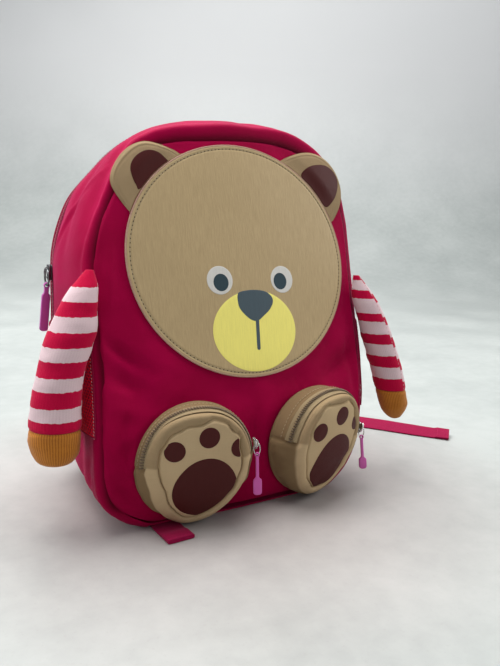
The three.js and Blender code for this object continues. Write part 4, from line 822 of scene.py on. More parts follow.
def zip_band():
    u = np.linspace(25.78, 48.12, 420)[None]
    for name, ys in (("zip_tape_front", (84.2, 84.6, 86, 87.4, 88.2)), ("zip_tape_back", (89.8, 90.6, 92, 93.4, 93.8))):
        y = np.array(ys)[:, None] + 0 * u
        o = -0.75 + 0.25 * (np.abs(y - 89) < 2)
        P = gusset(u + 0 * y, y, o)
        Q = gusset(u + 0 * y, y, o - 0.8)
        ob = shell(name, P, Q, M["tape"], attrs={"st": flat(P)[..., [1, 0, 2]]})
    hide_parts("main_zip")
    P, N, T = gusset_line(89, 25.8, 48.1, 1.45, 0.15)
    across = np.array([0, 1.0, 0]) + 0.22 * unit(T)
    side = np.where(np.arange(len(P))[:, None] % 2, 0.55, -0.55) * np.array([[0, 1.0, 0]])
    ob = capsules("zip_coil", P + side, across + 0 * P, N, 5.0, 1.05, 1.3, M["coil"])
    P, N, T = gusset_line(89, 25.8, 48.1, 1.0, -0.35)
    ob = capsules("zip_core", P, T, N, 1.5, 4.6, 0.9, M["tape"])
    for name, y in (("zip_stitch_front", 81.3), ("zip_stitch_back", 96.4)):
        P, N, T = gusset_line(y, 25.9, 48.0, 3.0)
        if y < 84:
            k = np.linspace(25.9, 48.0, 1500)
            Q, NN, _ = gusset_skin(k, np.full_like(k, (y - seam_y(k) - 0.7) / (83.9 - seam_y(k) - 0.7)), 83.9)
            near = np.argmin(((P[:, None, :] - Q[None]) ** 2).sum(-1), 1)
            P = Q[near]
        ob = capsules(name, P + 0.12 * unit(N), T, N, 2.1, 0.5, 0.45, M["thread_mag"])


def back_gusset():
    u = np.linspace(25.74, 48.16, 300)[None]
    y = np.concatenate([[94.1, 94.5], np.linspace(95.2, 103.7, 9)])[:, None]
    e = np.minimum(y - 94.1, 103.7 - y)
    o = -0.9 * np.exp(-((e / 1.2) ** 2)) + 0.25 * noise(np.stack([u * 14 + 0 * y, y + 0 * u, 0 * u * y], -1), (8, 6, 8), 8)
    P, Q = gusset(u + 0 * y, y + 0 * u, o), gusset(u + 0 * y, y + 0 * u, o - 1.1)
    ob = shell("back_gusset_cloth", P, Q, M["body"], attrs={"st": flat(P)})
    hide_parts("back_gusset")


def back_panel():
    us = np.linspace(0, 37, 241)[:-1]
    r = np.concatenate([np.linspace(0, 0.84, 42), np.linspace(0.855, 1, 12)])[:, None]
    bx, bz = loop(BODY, "bx", us), loop(BODY, "bz", us)
    x, z = r * bx, 145 + r * (bz - 145)
    h = 3 + 5 * np.sqrt(np.maximum(0, 1 - r * r)) + 0 * x
    quilt = 1.8 * bell(r, 0.86, 0.02) + 0 * x
    pad = 1 - step(r, 0.8, 0.86)
    for c in (72, 108, 144, 180, 216):
        quilt = quilt + 1.9 * np.exp(-(((z - c - 0.0015 * x * x) / 2.6) ** 2)) * (1 - step(np.abs(x), 62, 70)) * pad
    quilt = quilt + 1.5 * np.exp(-(((np.abs(x) - 67) / 2.2) ** 2)) * pad * (1 - step(np.abs(z - 144), 84, 94))
    P = np.stack([x, 0 * x, z], -1)
    h = h - quilt + 0.35 * noise(P, 24, 9) * pad
    h = h - 0.8 * bell(r, 1, 0.012)
    out = np.stack([x, BACK_Y + h, z], -1)
    ob = shell("back_pad", out, np.stack([x, BACK_Y + 0.2 + 0 * x, z], -1), M["back"], True, True, {"st": np.stack([z, x, 0 * x], -1)})
    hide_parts("back_panel")
    # binding over the back seam
    u = np.linspace(0, 37, 420)[:-1]
    path = gusset(u, np.full_like(u, 104.0), 0.1)
    path[:, 1] = 105.6
    path[:, 2] = np.maximum(path[:, 2], 1.9)
    ob = cable("back_binding", path, 1.75, M["bind"], 12, True)


# ---------- straps ----------
def section(n, e):
    a = np.linspace(0, 2 * np.pi, n, endpoint=False)
    c, s = np.cos(a), np.sin(a)
    return np.sign(c) * np.abs(c) ** e, np.sign(s) * np.abs(s) ** e


def ribbon(name, T, half, thick, mat, m=1, per=10, e=0.3, hem=0.0, replaces=(), span=None, n=20, wave=0.0):
    k = len(T["x"]) - 1
    a, b = span or (0, k)
    s = np.linspace(a, b, int((b - a) * per) + 1)
    p = np.stack([m * along(T, "x", s), along(T, "y", s), along(T, "z", s)], -1)
    side = unit(np.stack([along(T, "sx", s), m * along(T, "sy", s), m * along(T, "sz", s)], -1))
    tan = unit(np.gradient(p, axis=0))
    nrm = unit(np.cross(side, tan))
    side = unit(np.cross(tan, nrm))
    up = np.where(nrm[-1, 2] < 0, -1.0, 1.0)
    d = np.concatenate([[0], np.cumsum(np.linalg.norm(np.diff(p, axis=0), axis=1))])
    tail = step(d[-1] - d, hem, hem - 1.2) if hem else 0 * d
    cx, cy = section(n, e)
    w = half * (1 - 0.04 * wave * np.abs(noise(p, 22, 12)))
    lift = (thick / 2 * 0.9) * tail
    rings = (p[:, None] + (w[:, None] * cx)[..., None] * side[:, None]
             + ((thick / 2 * (1 + 0.9 * tail))[:, None] * cy)[..., None] * nrm[:, None] + (up * lift)[:, None, None] * nrm[:, None])
    if wave:
        rings = rings + (wave * noise(np.stack([d, 0 * d, 0 * d], -1), 15, 13) * step(d, 20, 40))[:, None, None] * nrm[:, None] * 0.5
    st = np.stack([d[:, None] + 0 * cx, half * cx + 0 * d[:, None], 0 * d[:, None] * cx], -1)
    ob = tube(name, rings, mat, {"st": st})
    for r in replaces:
        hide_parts(r)
    return ob, p, side, nrm * up, d


def cat(a, b):
    return {k: np.concatenate([a[k], b[k]]) for k in a}


def straps():
    for side, m in (("left", -1), ("right", 1)):
        # padded part
        T = STRAP
        s = np.linspace(0.15, 8.15, 180)
        p = np.stack([m * along(T, "x", s), along(T, "y", s), along(T, "z", s)], -1)
        w, t = along(T, "w", s), along(T, "t", s)
        end = np.sqrt(np.clip(1 - ((s - 4.15) / 4.0) ** 2, 0, 1)) ** 0.35
        tan = unit(np.gradient(p, axis=0))
        sd = unit(np.array([1.0, 0, 0]) - tan * tan[:, :1])
        nrm = unit(np.cross(sd, tan))
        nrm = nrm * np.where(nrm[:, 1:2] < 0, -1, 1)
        cx, cy = section(44, 0.55)
        d = np.concatenate([[0], np.cumsum(np.linalg.norm(np.diff(p, axis=0), axis=1))])
        groove = 1 - 0.34 * (bell(np.abs(cx), 0.80, 0.05))
        puff = 1 + 0.05 * noise(np.stack([d[:, None] + 0 * cx, 8 * cx + 0 * d[:, None], 0 * d[:, None] * cx], -1), (12, 9, 9), 14)
        cxn = np.linspace(0, 1, 3)
        rings = (p[:, None] + (w * (0.9 + 0.1 * end))[:, None, None] * cx[None, :, None] * sd[:, None]
                 + ((t / 2 * end)[:, None] * cy * groove * puff)[..., None] * nrm[:, None])
        st = np.stack([d[:, None] + 0 * cx, w[:, None] * cx, 0 * d[:, None] * cx], -1)
        ob = tube(f"strap_pad_{side}", rings, M["strap"], {"st": st})
        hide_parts(f"shoulder_strap_{side}")
        for q in (-1, 1):
            k = slice(4, -6)
            edge = p[k] + (q * (w[k] * 0.985))[:, None] * sd[k]
            e = cable(f"strap_binding_{side}_{'a' if q < 0 else 'b'}", edge, np.minimum(1.7, t[k] * 0.4), M["bind"], 10)
            for f in (-1, 1):
                row = p[k] + (q * (w[k] * 0.80))[:, None] * sd[k] + (f * (t[k] / 2 * 0.70))[:, None] * nrm[k]
                P, _ = resample(row, 3.0)
                Tn = np.gradient(P, axis=0)
                near = np.argmin(((P[:, None] - row[None]) ** 2).sum(-1), 1)
                c = capsules(f"strap_stitch_{side}_{'a' if q < 0 else 'b'}{'i' if f < 0 else 'o'}", P, Tn, f * nrm[k][near], 2.1, 0.5, 0.5, M["thread_mag"])
        # band looped on the buckle
        B = {k: v[8:] for k, v in STRAP.items()}
        n = len(B["x"])
        B = {"x": B["x"], "y": B["y"], "z": B["z"], "sx": np.ones(n), "sy": np.zeros(n), "sz": np.zeros(n)}
        B["z"] = B["z"].copy()
        B["z"][0] += 2
        ribbon(f"strap_band_{side}", B, 10, 1.5, M["web"], m)
        W = cat(WEB_START, WEB_TAIL[side])
        ob, p, sd, nr, d = ribbon(f"webbing_band_{side}", W, 10, 1.5, M["web"], m, hem=13, replaces=[f"webbing_{side}"], wave=0.5 if side == "right" else 0.0)
        for back in (2.2, 10.8):
            i = np.argmin(np.abs(d - (d[-1] - back)))
            row = p[i] + np.linspace(-8.6, 8.6, 8)[:, None] * sd[i] + (0.75 * 1.9 + 0.62) * nr[i]
            c = capsules(f"webbing_stitch_{side}_{int(back)}", row, sd[i] + 0 * row, nr[i] + 0 * row, 1.8, 0.5, 0.5, M["thread_mag"])
    ob, p, sd, nr, d = ribbon("grab_band", GRAB, 8, 2.0, M["web"], 1, 16, replaces=["grab_loop"])
    rows = []
    for i in np.linspace(2, len(p) - 3, 34).astype(int):
        rows.append((p[i], np.gradient(p, axis=0)[i], sd[i], nr[i]))
    P = np.array([r[0] + q * 6.2 * r[2] + 0.95 * r[3] for r in rows for q in (-1, 1)])
    Tn = np.array([r[1] for r in rows for q in (-1, 1)])
    Nn = np.array([r[3] for r in rows for q in (-1, 1)])
    c = capsules("grab_stitch", P, Tn, Nn, 2.0, 0.5, 0.45, M["thread_mag"])


def bevel(ob, width, segments=3, angle=30):
    b = ob.modifiers.new("round", "BEVEL")
    b.width, b.segments, b.limit_method, b.angle_limit = width * 0.001, segments, "ANGLE", math.radians(angle)
    b.harden_normals = False
    return ob


def outline_solid(name, outlines, depth, mat, place, edge=0.35):
    """A plate from closed outlines (the first outside, the rest holes), with rounded edges. place maps local mm to face frame mm."""
    c = bpy.data.curves.new(name, "CURVE")
    c.dimensions = "2D"
    c.fill_mode = "BOTH"
    for pts in outlines:
        s = c.splines.new("POLY")
        s.points.add(len(pts) - 1)
        for q, (x, y) in zip(s.points, pts):
            q.co = (x, y, 0, 1)
        s.use_cyclic_u = True
    c.extrude = depth / 2 - edge
    c.bevel_depth = edge
    c.bevel_resolution = 2
    c.offset = -edge
    tmp = bpy.data.objects.new(name + "_tmp", c)
    bpy.context.scene.collection.objects.link(tmp)
    bpy.context.view_layer.update()
    me = bpy.data.meshes.new_from_object(tmp.evaluated_get(bpy.context.evaluated_depsgraph_get()))
    V = np.empty(len(me.vertices) * 3)
    me.vertices.foreach_get("co", V)
    F = [list(f.vertices) for f in me.polygons]
    bpy.data.objects.remove(tmp)
    bpy.data.curves.remove(c)
    V = place(V.reshape(-1, 3))
    bpy.data.meshes.remove(me)
    return make(name, V, F, mat, sharp=35)


def placed(top, end, facing):
    y = unit(np.array(top, float) - np.array(end, float))
    z = np.array(facing, float)
    z = unit(z - y * (y @ z))
    x = np.cross(y, z)
    return lambda V: np.array(top, float) + V[:, :1] * x + V[:, 1:2] * y + V[:, 2:3] * z


def arc(cx, cy, r, a, b, n=12):
    t = np.radians(np.linspace(a, b, n))
    return [(cx + r * math.cos(k), cy + r * math.sin(k)) for k in t]


def buckles():
    b = BUCKLE
    for side, m in (("left", -1), ("right", 1)):
        w, h, r = b["wide"] / 2, b["high"] / 2, 2.2
        out = arc(w - r, h - r, r, 0, 90, 6) + arc(-w + r, h - r, r, 90, 180, 6) + arc(-w + r, -h + r, r, 180, 270, 6) + arc(w - r, -h + r, r, 270, 360, 6)
        bar = b["bar"]
        k = (b["high"] - 3 * bar) / 4
        holes = []
        for z in (-(bar / 2 + k), bar / 2 + k):
            q, e = w - bar, 0.8
            holes.append(arc(q - e, z + k - e, e, 0, 90, 4) + arc(-q + e, z + k - e, e, 90, 180, 4) + arc(-q + e, z - k + e, e, 180, 270, 4) + arc(q - e, z - k + e, e, 270, 360, 4))
        c = np.array([m * b["x"], b["y"], b["z"]])
        ob = outline_solid(f"buckle_frame_{side}", [out] + holes, b["thick"], M["buckle"],
                           lambda V: c + np.stack([V[:, 0], V[:, 2], V[:, 1]], -1), 0.6)
        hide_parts(f"buckle_{side}")
        # grip ridges on the lower bar
        xs = np.linspace(-9, 9, 10)
        P = c + np.stack([xs, 0 * xs + b["thick"] / 2, 0 * xs - h + bar / 2], -1)
        g = capsules(f"buckle_grip_{side}", P, np.array([[0, 0, 1.0]]) + 0 * P, np.array([[0, 1.0, 0]]) + 0 * P, 2.4, 0.8, 0.7, M["buckle"])


# ---------- face ----------
LEAN = math.cos(math.radians(DISC["lean"]))


def disc_skin(x, v, out=0.0):
    """Points on the outer side of the face disc."""
    z = DISC["z"] + v * LEAN
    r = np.hypot((x - DISC["x"]) / DISC["rx"], v / DISC["ry"])
    P = np.stack([x, 0 * x, v], -1)
    d = (1 - r) * 91
    lift = 0.32 * noise(P, (46, 10, 60), 21) * step(d, 0, 14) - 0.4 * bell(d, 3.2, 0.8) - 0.6 * np.exp(-((d / 0.8) ** 2))
    y = front_y(x, z) - DISC["off"] - DISC["thick"] - lift - out
    return np.stack([x, y, z], -1)


def blob(outline, per=6):
    """A closed smooth outline through points."""
    o = np.array(outline, float)
    T = {"a": o[:, 0], "b": o[:, 1]}
    u = np.linspace(0, len(o), len(o) * per + 1)[:-1]
    return np.stack([loop(T, "a", u), loop(T, "b", u)], -1)


def oval(cx, cy, rx, ry, n=72, egg=0.0, turn=0.0):
    a = np.linspace(0, 2 * np.pi, n, endpoint=False)
    x, y = rx * np.cos(a) * (1 - egg * np.sin(a)), ry * np.sin(a)
    c, s = math.cos(turn), math.sin(turn)
    return np.stack([cx + c * x - s * y, cy + s * x + c * y], -1)


def patch(name, outline, skin, mat, thick=0.14, rows=10, lower=0.05):
    """Printed colour: a very thin layer over a surface."""
    m = outline.mean(0)
    r = np.concatenate([np.linspace(0, 0.94, rows), [0.985, 1.0]])[:, None]
    a, b = m[0] + r * (outline[:, 0] - m[0]), m[1] + r * (outline[:, 1] - m[1])
    h = thick * np.where(r > 0.99, 0.35, 1.0)
    top, low = skin(a, b, h + 0 * a), skin(a, b, -lower + 0 * a)
    ob = shell(name, top, low, mat, True, True, {"st": np.stack([a, b, 0 * a], -1)})
    return ob


NOSE = [(-11.1, -23.6), (-0.5, -22.4), (10.2, -23.7), (16.1, -27.7), (17.0, -32.4), (13.5, -37.7), (8.0, -42.0), (1.7, -45.9), (-4.0, -44.9),
        (-9.5, -40.5), (-13.3, -35.5), (-14.3, -29.9), (-13.9, -25.8)]
EAR_PRINT = {
    "left": [(-57.4, 68.9), (-61.4, 74.4), (-67, 77.5), (-74.2, 77.7), (-81, 74.1), (-85.7, 68.7), (-87.4, 62.9), (-86.1, 56.7), (-83.7, 51.9),
             (-81.5, 49.2), (-73.3, 56.9), (-65.3, 63.9)],
    "right": [(59.6, 69.6), (66.5, 77), (77.6, 80.3), (88, 80.2), (95.7, 75.8), (99.5, 68.3), (97.5, 60), (92, 51.5), (83.2, 44.8), (75.2, 54.2),
              (67.2, 62.8)],
}


def face():
    a = np.linspace(0, 2 * np.pi, 300, endpoint=False)
    r = np.concatenate([np.linspace(0, 0.9, 30), np.linspace(0.915, 0.98, 12), np.linspace(0.986, 1, 6)])[:, None]
    x, v = DISC["x"] + DISC["rx"] * r * np.cos(a), DISC["ry"] * r * np.sin(a)
    top = disc_skin(x, v)
    z = top[..., 2]
    low = np.stack([x, front_y(x, z) - DISC["off"], z], -1)
    ob = shell("face_leather_disc", top, low, M["disc"], True, True, {"st": np.stack([x, v, 0 * x], -1)})
    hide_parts("face_disc")
    # cut edge
    e = np.stack([DISC["x"] + (DISC["rx"] - 0.32) * np.cos(a), 0 * a, DISC["z"] + (DISC["ry"] - 0.32) * np.sin(a) * LEAN], -1)
    e[:, 1] = front_y(e[:, 0], e[:, 2]) - DISC["off"] - 0.68
    ob = cable("face_cut_edge", e, 0.66, M["cut"], 10, True)
    # stitches, and painted shade in their needle holes
    t = np.linspace(0, 2 * np.pi, 2400, endpoint=False)
    path = disc_skin(DISC["x"] + (DISC["rx"] - 3.1) * np.cos(t), (DISC["ry"] - 3.1) * np.sin(t))
    P, _ = resample(path, 3.1, True)
    T = np.roll(P, -1, 0) - np.roll(P, 1, 0)
    N = unit(np.array([[0, -1.0, 0.27]])) + 0 * P
    ob = capsules("face_stitches", P + 0.16 * N, T, N, 2.0, 0.62, 0.5, M["thread_tan"])
    # painted shade: dark bars where the needle holes are
    H = (P + np.roll(P, -1, 0)) / 2
    ob = capsules("face_stitch_hole_shade", H + 0.03 * N, T, N, 1.25, 0.85, 0.3, M["hole_shade"])
    patch("muzzle_print", oval(0, -53.4, 36.4, 30.6, 120), disc_skin, M["yellow"], 0.12, 16)
    for s, cx, px, py in (("left", -27.5, -26.7, -16.5), ("right", 27.5, 25.7, -16.2)):
        patch(f"eye_white_{s}", oval(cx, -14.9, 10.5, 10.5), disc_skin, M["eye"], 0.13)
        patch(f"pupil_{s}", oval(px, py, 6.2, 6.5), disc_skin, M["slate"], 0.2, 6)
    patch("nose_print", blob(NOSE), disc_skin, M["nose"], 0.22)
    n = 9
    q = np.radians(np.linspace(180, 360, n))
    line = np.array([(-0.3, -44.5), (2.9, -44.5)] + [(1.9 + 0 * k, -45) for k in ()] + [(0.5 - 1.5 * math.cos(k), -66.5 + 1.5 * math.sin(k)) for k in q])
    lo = np.array([(0.5 + 1.5 * math.cos(k), -66.5 + 1.5 * math.sin(k)) for k in q])
    b = np.linspace(-44.5, -66.5, 14)
    mid = 0.5 + (b + 66.5) / 22 * 0.8
    line = np.concatenate([np.stack([mid - 1.5, b], -1), lo, np.stack([mid + 1.5, b], -1)[::-1]])
    patch("nose_line", line, disc_skin, M["nose"], 0.21, 6)


def ear_outline(side):
    E = EARS[side]
    x, v = E["x"], E["v"]
    def ang(i):
        return math.atan2(v[i] / DISC["ry"], (x[i] - DISC["x"]) / DISC["rx"])
    u = np.linspace(0, len(x) - 1, 150)
    arcp = np.stack([along(E, "x", u), along(E, "v", u)], -1)[2:-2]
    a = np.linspace(ang(-1), ang(0), 50)
    c = 1 + 0.5 / 90
    und = np.stack([DISC["x"] + DISC["rx"] * c * np.cos(a), DISC["ry"] * c * np.sin(a)], -1)
    return np.concatenate([arcp, und]), len(arcp)


def ears():
    for side in ("left", "right"):
        o, n = ear_outline(side)
        m = o.mean(0)
        r = np.concatenate([np.linspace(0, 0.8, 18), np.linspace(0.83, 0.97, 9), np.linspace(0.98, 1, 5)])[:, None]
        x, v = m[0] + r * (o[:, 0] - m[0]), m[1] + r * (o[:, 1] - m[1])
        free = np.ones(len(o))
        free[n:] = 0.25
        free = np.convolve(np.concatenate([free[-9:], free, free[:9]]), np.ones(19) / 19, "valid")

        def skin(a, b, out):
            z = DISC["z"] + b * LEAN
            k = np.clip(np.sqrt(((a - m[0]) / np.abs(o[:, 0] - m[0]).max()) ** 2 + ((b - m[1]) / np.abs(o[:, 1] - m[1]).max()) ** 2), 0, 1)
            P = np.stack([a, 0 * a, b], -1)
            rd = np.hypot((a - DISC["x"]) / DISC["rx"], b / DISC["ry"])
            puff = 1.3 + 2.1 * (1 - k * k) + 0.28 * noise(P, (13, 5, 13), 31)
            puff = 0.75 + (puff - 0.75) * step(rd, 1.0, 1.16)
            return np.stack([a, front_y(a, z) - 0.35 - puff - out, z], -1)

        d = (1 - r) * np.hypot(o[:, 0] - m[0], o[:, 1] - m[1])
        drop = 1.5 * np.exp(-((d / 1.3) ** 2)) * free + 0.35 * bell(d, 3.2, 0.8) * free
        top = skin(x, v, -drop)
        z = DISC["z"] + v * LEAN
        low = np.stack([x, front_y(x, z) - 0.35, z], -1)
        top[..., 1] = np.minimum(top[..., 1], low[..., 1] - 0.35)
        ob = shell(f"ear_cloth_{side}", top, low, M["ear"], True, True, {"st": np.stack([v, x, 0 * x], -1)})
        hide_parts(f"ear_{side}")
        q = blob(EAR_PRINT[side])
        rd = np.hypot((q[:, 0] - DISC["x"]) / DISC["rx"], q[:, 1] / DISC["ry"])
        grow = np.maximum(1, 1.010 / rd)
        q = np.stack([DISC["x"] + (q[:, 0] - DISC["x"]) * grow, q[:, 1] * grow], -1)
        patch(f"ear_print_{side}", q, skin, M["brown"], 0.15, 8, 0.1)


# ---------- paw pockets ----------
def paw_frame(side):
    s = -1 if side == "left" else 1
    psi, t = math.radians(PAW["face"]["turn"]) * s, math.radians(PAW["face"]["tilt"])
    n = np.array([math.sin(psi) * math.cos(t), -math.cos(psi) * math.cos(t), math.sin(t)])
    r = np.array([math.cos(psi), math.sin(psi), 0])
    up = np.cross(n, r)
    up = up if up[2] > 0 else -up
    return np.array([s * PAW["face"]["x"], PAW["face"]["y"], PAW["face"]["z"]]), n, r, up


def paw_face(side, a, b, out=0.0):
    c, n, r, up = paw_frame(side)
    h = -0.5 * PAW["face"]["dome"] * (a * a + b * b) + out
    return c + a[..., None] * r + b[..., None] * up + h[..., None] * n


def paw_rim(side, u):
    T = dict(PAW_RIM)
    if side == "left":
        T["b"] = PAW_RIM["b"] - PAW_RIM["sag"]
    return loop(T, "a", u), loop(T, "b", u)


def paw_side(side, u, w, out=0.0):
    c, n, r, up = paw_frame(side)
    u, w, out = np.broadcast_arrays(np.asarray(u, float), np.asarray(w, float), np.asarray(out, float))
    a, b = paw_rim(side, u)
    g = np.arctan2(b + 3, a + 3)
    x, z = PAW["baseX"][side] + PAW["base"]["rx"] * np.cos(g), PAW["base"]["z"] + PAW["base"]["rz"] * np.sin(g)
    base = np.stack([x, front_y(x, z) - 1.4, z], -1)
    top = paw_face(side, a, b)
    d = unit((a + 3)[..., None] * r + (b + 3)[..., None] * up)
    push = PAW["side"] * np.sin(np.pi * w) + out
    return base + w[..., None] * (top - base) + d * push[..., None], d


def paw_station(side, deg):
    u = np.linspace(0, 16, 1281)
    a, b = paw_rim(side, u)
    g = np.degrees(np.arctan2(b + 3, a + 3))
    return u[np.argmin(np.abs((g - deg + 180) % 360 - 180))]


def paw_edge(side, a, b):
    """Distance from the rim to the wavy edge of the inset face piece."""
    P = np.stack([a, 0 * a, b], -1) + (0 if side == "left" else 200)
    return 5.0 + 1.1 * noise(P, (8, 8, 8), 42) + 2.2 * step(b, 6, 20) * noise(P, (9, 9, 9), 43)


def paw_puff(side, a, b, d):
    """How far the face stands out of its plane; d is the distance to the rim."""
    P = np.stack([a, 0 * a, b], -1) + (0 if side == "left" else 200)
    low = step(-b, 12, 34)
    wave = (0.4 + 1.5 * low) * noise(P, (15, 9, 12), 41) * step(d, 2, 8)
    at = paw_edge(side, a, b)
    dip = -1.9 * bell(d, at, 0.65) - 0.7 * (1 - step(d, at - 0.3, at + 0.3)) * step(b, 4, 14)
    return wave + dip + 0.35 * bell(d, 2.6, 1.2) + 0.4 * step(d, at + 0.6, at + 9)


def paw_depth(side, a, b):
    """Distance from points of the face to its rim, near enough."""
    u = np.linspace(0, 16, 400, endpoint=False)
    ra, rb = paw_rim(side, u)
    g = np.arctan2(rb + 3, ra + 3)
    k = np.argsort(g)
    R = np.interp(np.arctan2(b + 3, a + 3), g[k], np.hypot(ra + 3, rb + 3)[k], period=2 * np.pi)
    q = np.hypot(a + 3, b + 3)
    return np.maximum(0, R - q)


def drawn_in(side, m, o, keep=1.0):
    """An outline pulled toward m where it would run over the turned rim."""
    lo, hi = np.zeros(len(o)), np.ones(len(o))
    ok = paw_depth(side, o[:, 0], o[:, 1]) - paw_edge(side, o[:, 0], o[:, 1]) >= keep
    for _ in range(24):
        t = (lo + hi) / 2
        p = m + (o - m) * t[:, None]
        good = paw_depth(side, p[:, 0], p[:, 1]) - paw_edge(side, p[:, 0], p[:, 1]) >= keep
        lo, hi = np.where(good, t, lo), np.where(good, hi, t)
    return m + (o - m) * np.where(ok, 1, lo)[:, None]


def paws():
    for side in ("left", "right"):
        u = np.linspace(0, 16, 241)[:-1]
        a, b = paw_rim(side, u)
        ln = np.hypot(a + 3, b + 3)
        R = 3.0
        c, n, rr, up = paw_frame(side)
        u0, u1 = paw_station(side, PAW_ZIP["startDeg"][side]), paw_station(side, PAW_ZIP["endDeg"][side]) + 16
        run = (u - u0) % 16
        k0, k1 = 0.06, (u1 - u0)
        zone = step(run, 0, 0.12) * (1 - step(run, k1 - 0.12, k1)) * (run < k1)
        # third value of stats: painted shade, used by the tan cloth's wall colour
        rows, stats = [], []
        for f in np.concatenate([np.linspace(0, 0.72, 22), np.linspace(0.735, 1, 17)]):
            q = f * (ln - R)
            fa, fb = -3 + q * (a + 3) / ln, -3 + q * (b + 3) / ln
            d = ln - q
            rows.append(paw_face(side, fa, fb, paw_puff(side, fa, fb, d)))
            at = paw_edge(side, fa, fb)
            # painted shade: the band beside the zip, and a dark line at the edge of the inset face piece
            stats.append(np.stack([fb, fa, 0.6 * zone * (1 - step(d, at - 0.7, at)) + 0.9 * bell(d, at, 0.35) * (1 - zone)], -1))

        def wall_out(w):
            """Relief of the side wall: lips along the zip, seams at its ends, slack folds below."""
            lip = 0.8 * bell(w, 0.44, 0.045) + 0.7 * bell(w, 0.885, 0.045) - 0.8 * bell(w, 0.66, 0.15)
            cross = -0.9 * (bell(run, -0.0, 0.07) + bell(run, k1, 0.07) + bell(run, 16.0, 0.07)) + 0.5 * (bell(run, k1 + 0.22, 0.12) + bell(run, 15.78, 0.12))
            P, _ = paw_side(side, u, w)
            slack = (1 - zone) * (1.5 * noise(P, (9, 16, 12), 44) + 0.7 * noise(P, (5, 8, 6), 45)) * math.sin(math.pi * w)
            foot = -1.0 * math.exp(-((w / 0.035) ** 2)) + 0.7 * bell(w, 0.09, 0.05)
            return zone * lip + cross * math.sin(math.pi * w) ** 0.3 + slack + foot

        hgt = np.linalg.norm(paw_side(side, u, 1.0)[0] - paw_side(side, u, 0.0)[0], axis=-1)
        A = rows[-1]
        wB = 1 - R / hgt
        B, dd = paw_side(side, u, wB, wall_out(0.88) * 0.6)
        C = paw_face(side, a, b, 0.35 + 0 * a) + 0.45 * dd
        s_wall = []
        for t in np.linspace(0.12, 1, 8):
            rows.append((1 - t) ** 2 * A + 2 * t * (1 - t) * C + t * t * B)
            stats.append(np.stack([b, a, 0.6 * zone], -1))
        for f in np.linspace(0, 1, 40)[1:]:
            w = wB * (1 - f)
            mean_w = float(np.mean(w))
            P, _ = paw_side(side, u, w, wall_out(mean_w) if f < 1 else -0.6)
            rows.append(P)
            # painted shade: the side wall darkened all over, except just under the rim
            stats.append(np.stack([w * hgt + 40, u * 13, np.maximum(0.6 * zone, step(f, 0.0, 0.12))], -1))
        top = np.array(rows)
        N = surface_normals(top, True)
        mid = top[:39].reshape(-1, 3).mean(0)
        if (N[10] @ n).mean() < 0:
            N = -N
        low = top - 1.0 * N
        low[0] = low[0].mean(0)
        ob = shell(f"paw_cloth_{side}", top, low, M["tan"], True, True, {"st": np.array(stats)})
        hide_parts(f"paw_pocket_{side}")

        def skin(x, y, out):
            return paw_face(side, x, y, paw_puff(side, x, y, paw_depth(side, x, y)) + out)

        for i, (px, py) in enumerate(((-23, 12.2), (0, 21.5), (23, 12.2))):
            o = oval(px, py, 7.2, 7.4)
            d = paw_depth(side, o[:, 0], o[:, 1])
            if d.min() < 9:
                o = drawn_in(side, np.array([px, py]) + [-2 * np.sign(px), 0], o)
            patch(f"toe_{side}_{i}", o, skin, M["brown"], 0.16, 8, 0.1)
        o = oval(0, -17.9, 23, 24.2, 110, 0.10)
        o = drawn_in(side, np.array([0, -17.9]), o)
        patch(f"pad_{side}", o, skin, M["brown"], 0.16, 26, 0.1)

        # zip: two tapes and the teeth
        us = np.linspace(u0 + 0.04, u1 - 0.04, 260)
        for nm, ws in (("a", (0.50, 0.54, 0.60, 0.645)), ("b", (0.675, 0.72, 0.78, 0.82))):
            T0 = np.array([paw_side(side, us, w, 0.35)[0] for w in ws])
            T1 = np.array([paw_side(side, us, w, -0.1)[0] for w in ws])
            ob = shell(f"paw_tape_{side}_{nm}", T0, T1, M["tan_tape"], attrs={"st": flat(T0)[..., [1, 0, 2]]})
            if nm == "a":
                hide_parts(f"paw_zip_{side}")
        path = np.array(paw_side(side, us, 0.66, 1.05)[0])
        P, sdist = resample(path, 1.75)
        kk = np.interp(np.linspace(0, 1, len(P)), np.linspace(0, 1, len(us)), us)
        X, d = paw_side(side, kk, 0.66, 1.0)
        Y = paw_side(side, kk, 0.74, 1.0)[0] - paw_side(side, kk, 0.58, 1.0)[0]
        T = np.gradient(X, axis=0)
        ob = capsules(f"paw_coil_{side}", X, unit(Y) + 0.2 * unit(T), d, 3.7, 1.15, 1.1, M["tan_coil"])
        # stitches along one side of the zip
        for nm, w in (("a", 0.385), ("b", 0.935)):
            path = paw_side(side, us[4:-4], w, 0.72 if nm == "a" else 0.62)[0]
            P, _ = resample(path, 2.8)
            kk = np.interp(np.linspace(0, 1, len(P)), np.linspace(0, 1, len(us) - 8), us[4:-4])
            d = paw_side(side, kk, w)[1]
            if nm == "a":
                ob = capsules(f"paw_stitch_{side}_{nm}", P, np.gradient(P, axis=0), d, 1.9, 0.45, 0.4, M["thread_tan"])


# ---------- arms and hands ----------
def side_x(side, y, z, out):
    lo = np.full(y.shape, 23.5 if side == "left" else 14.0)
    hi = np.full(y.shape, 34.5 if side == "left" else 4.0)
    for _ in range(26):
        m = (lo + hi) / 2
        up = gusset(m, y, out)[..., 2] < z
        lo, hi = np.where(up, m, lo), np.where(up, hi, m)
    m = (lo + hi) / 2
    return gusset(m, y, out)[..., 0]


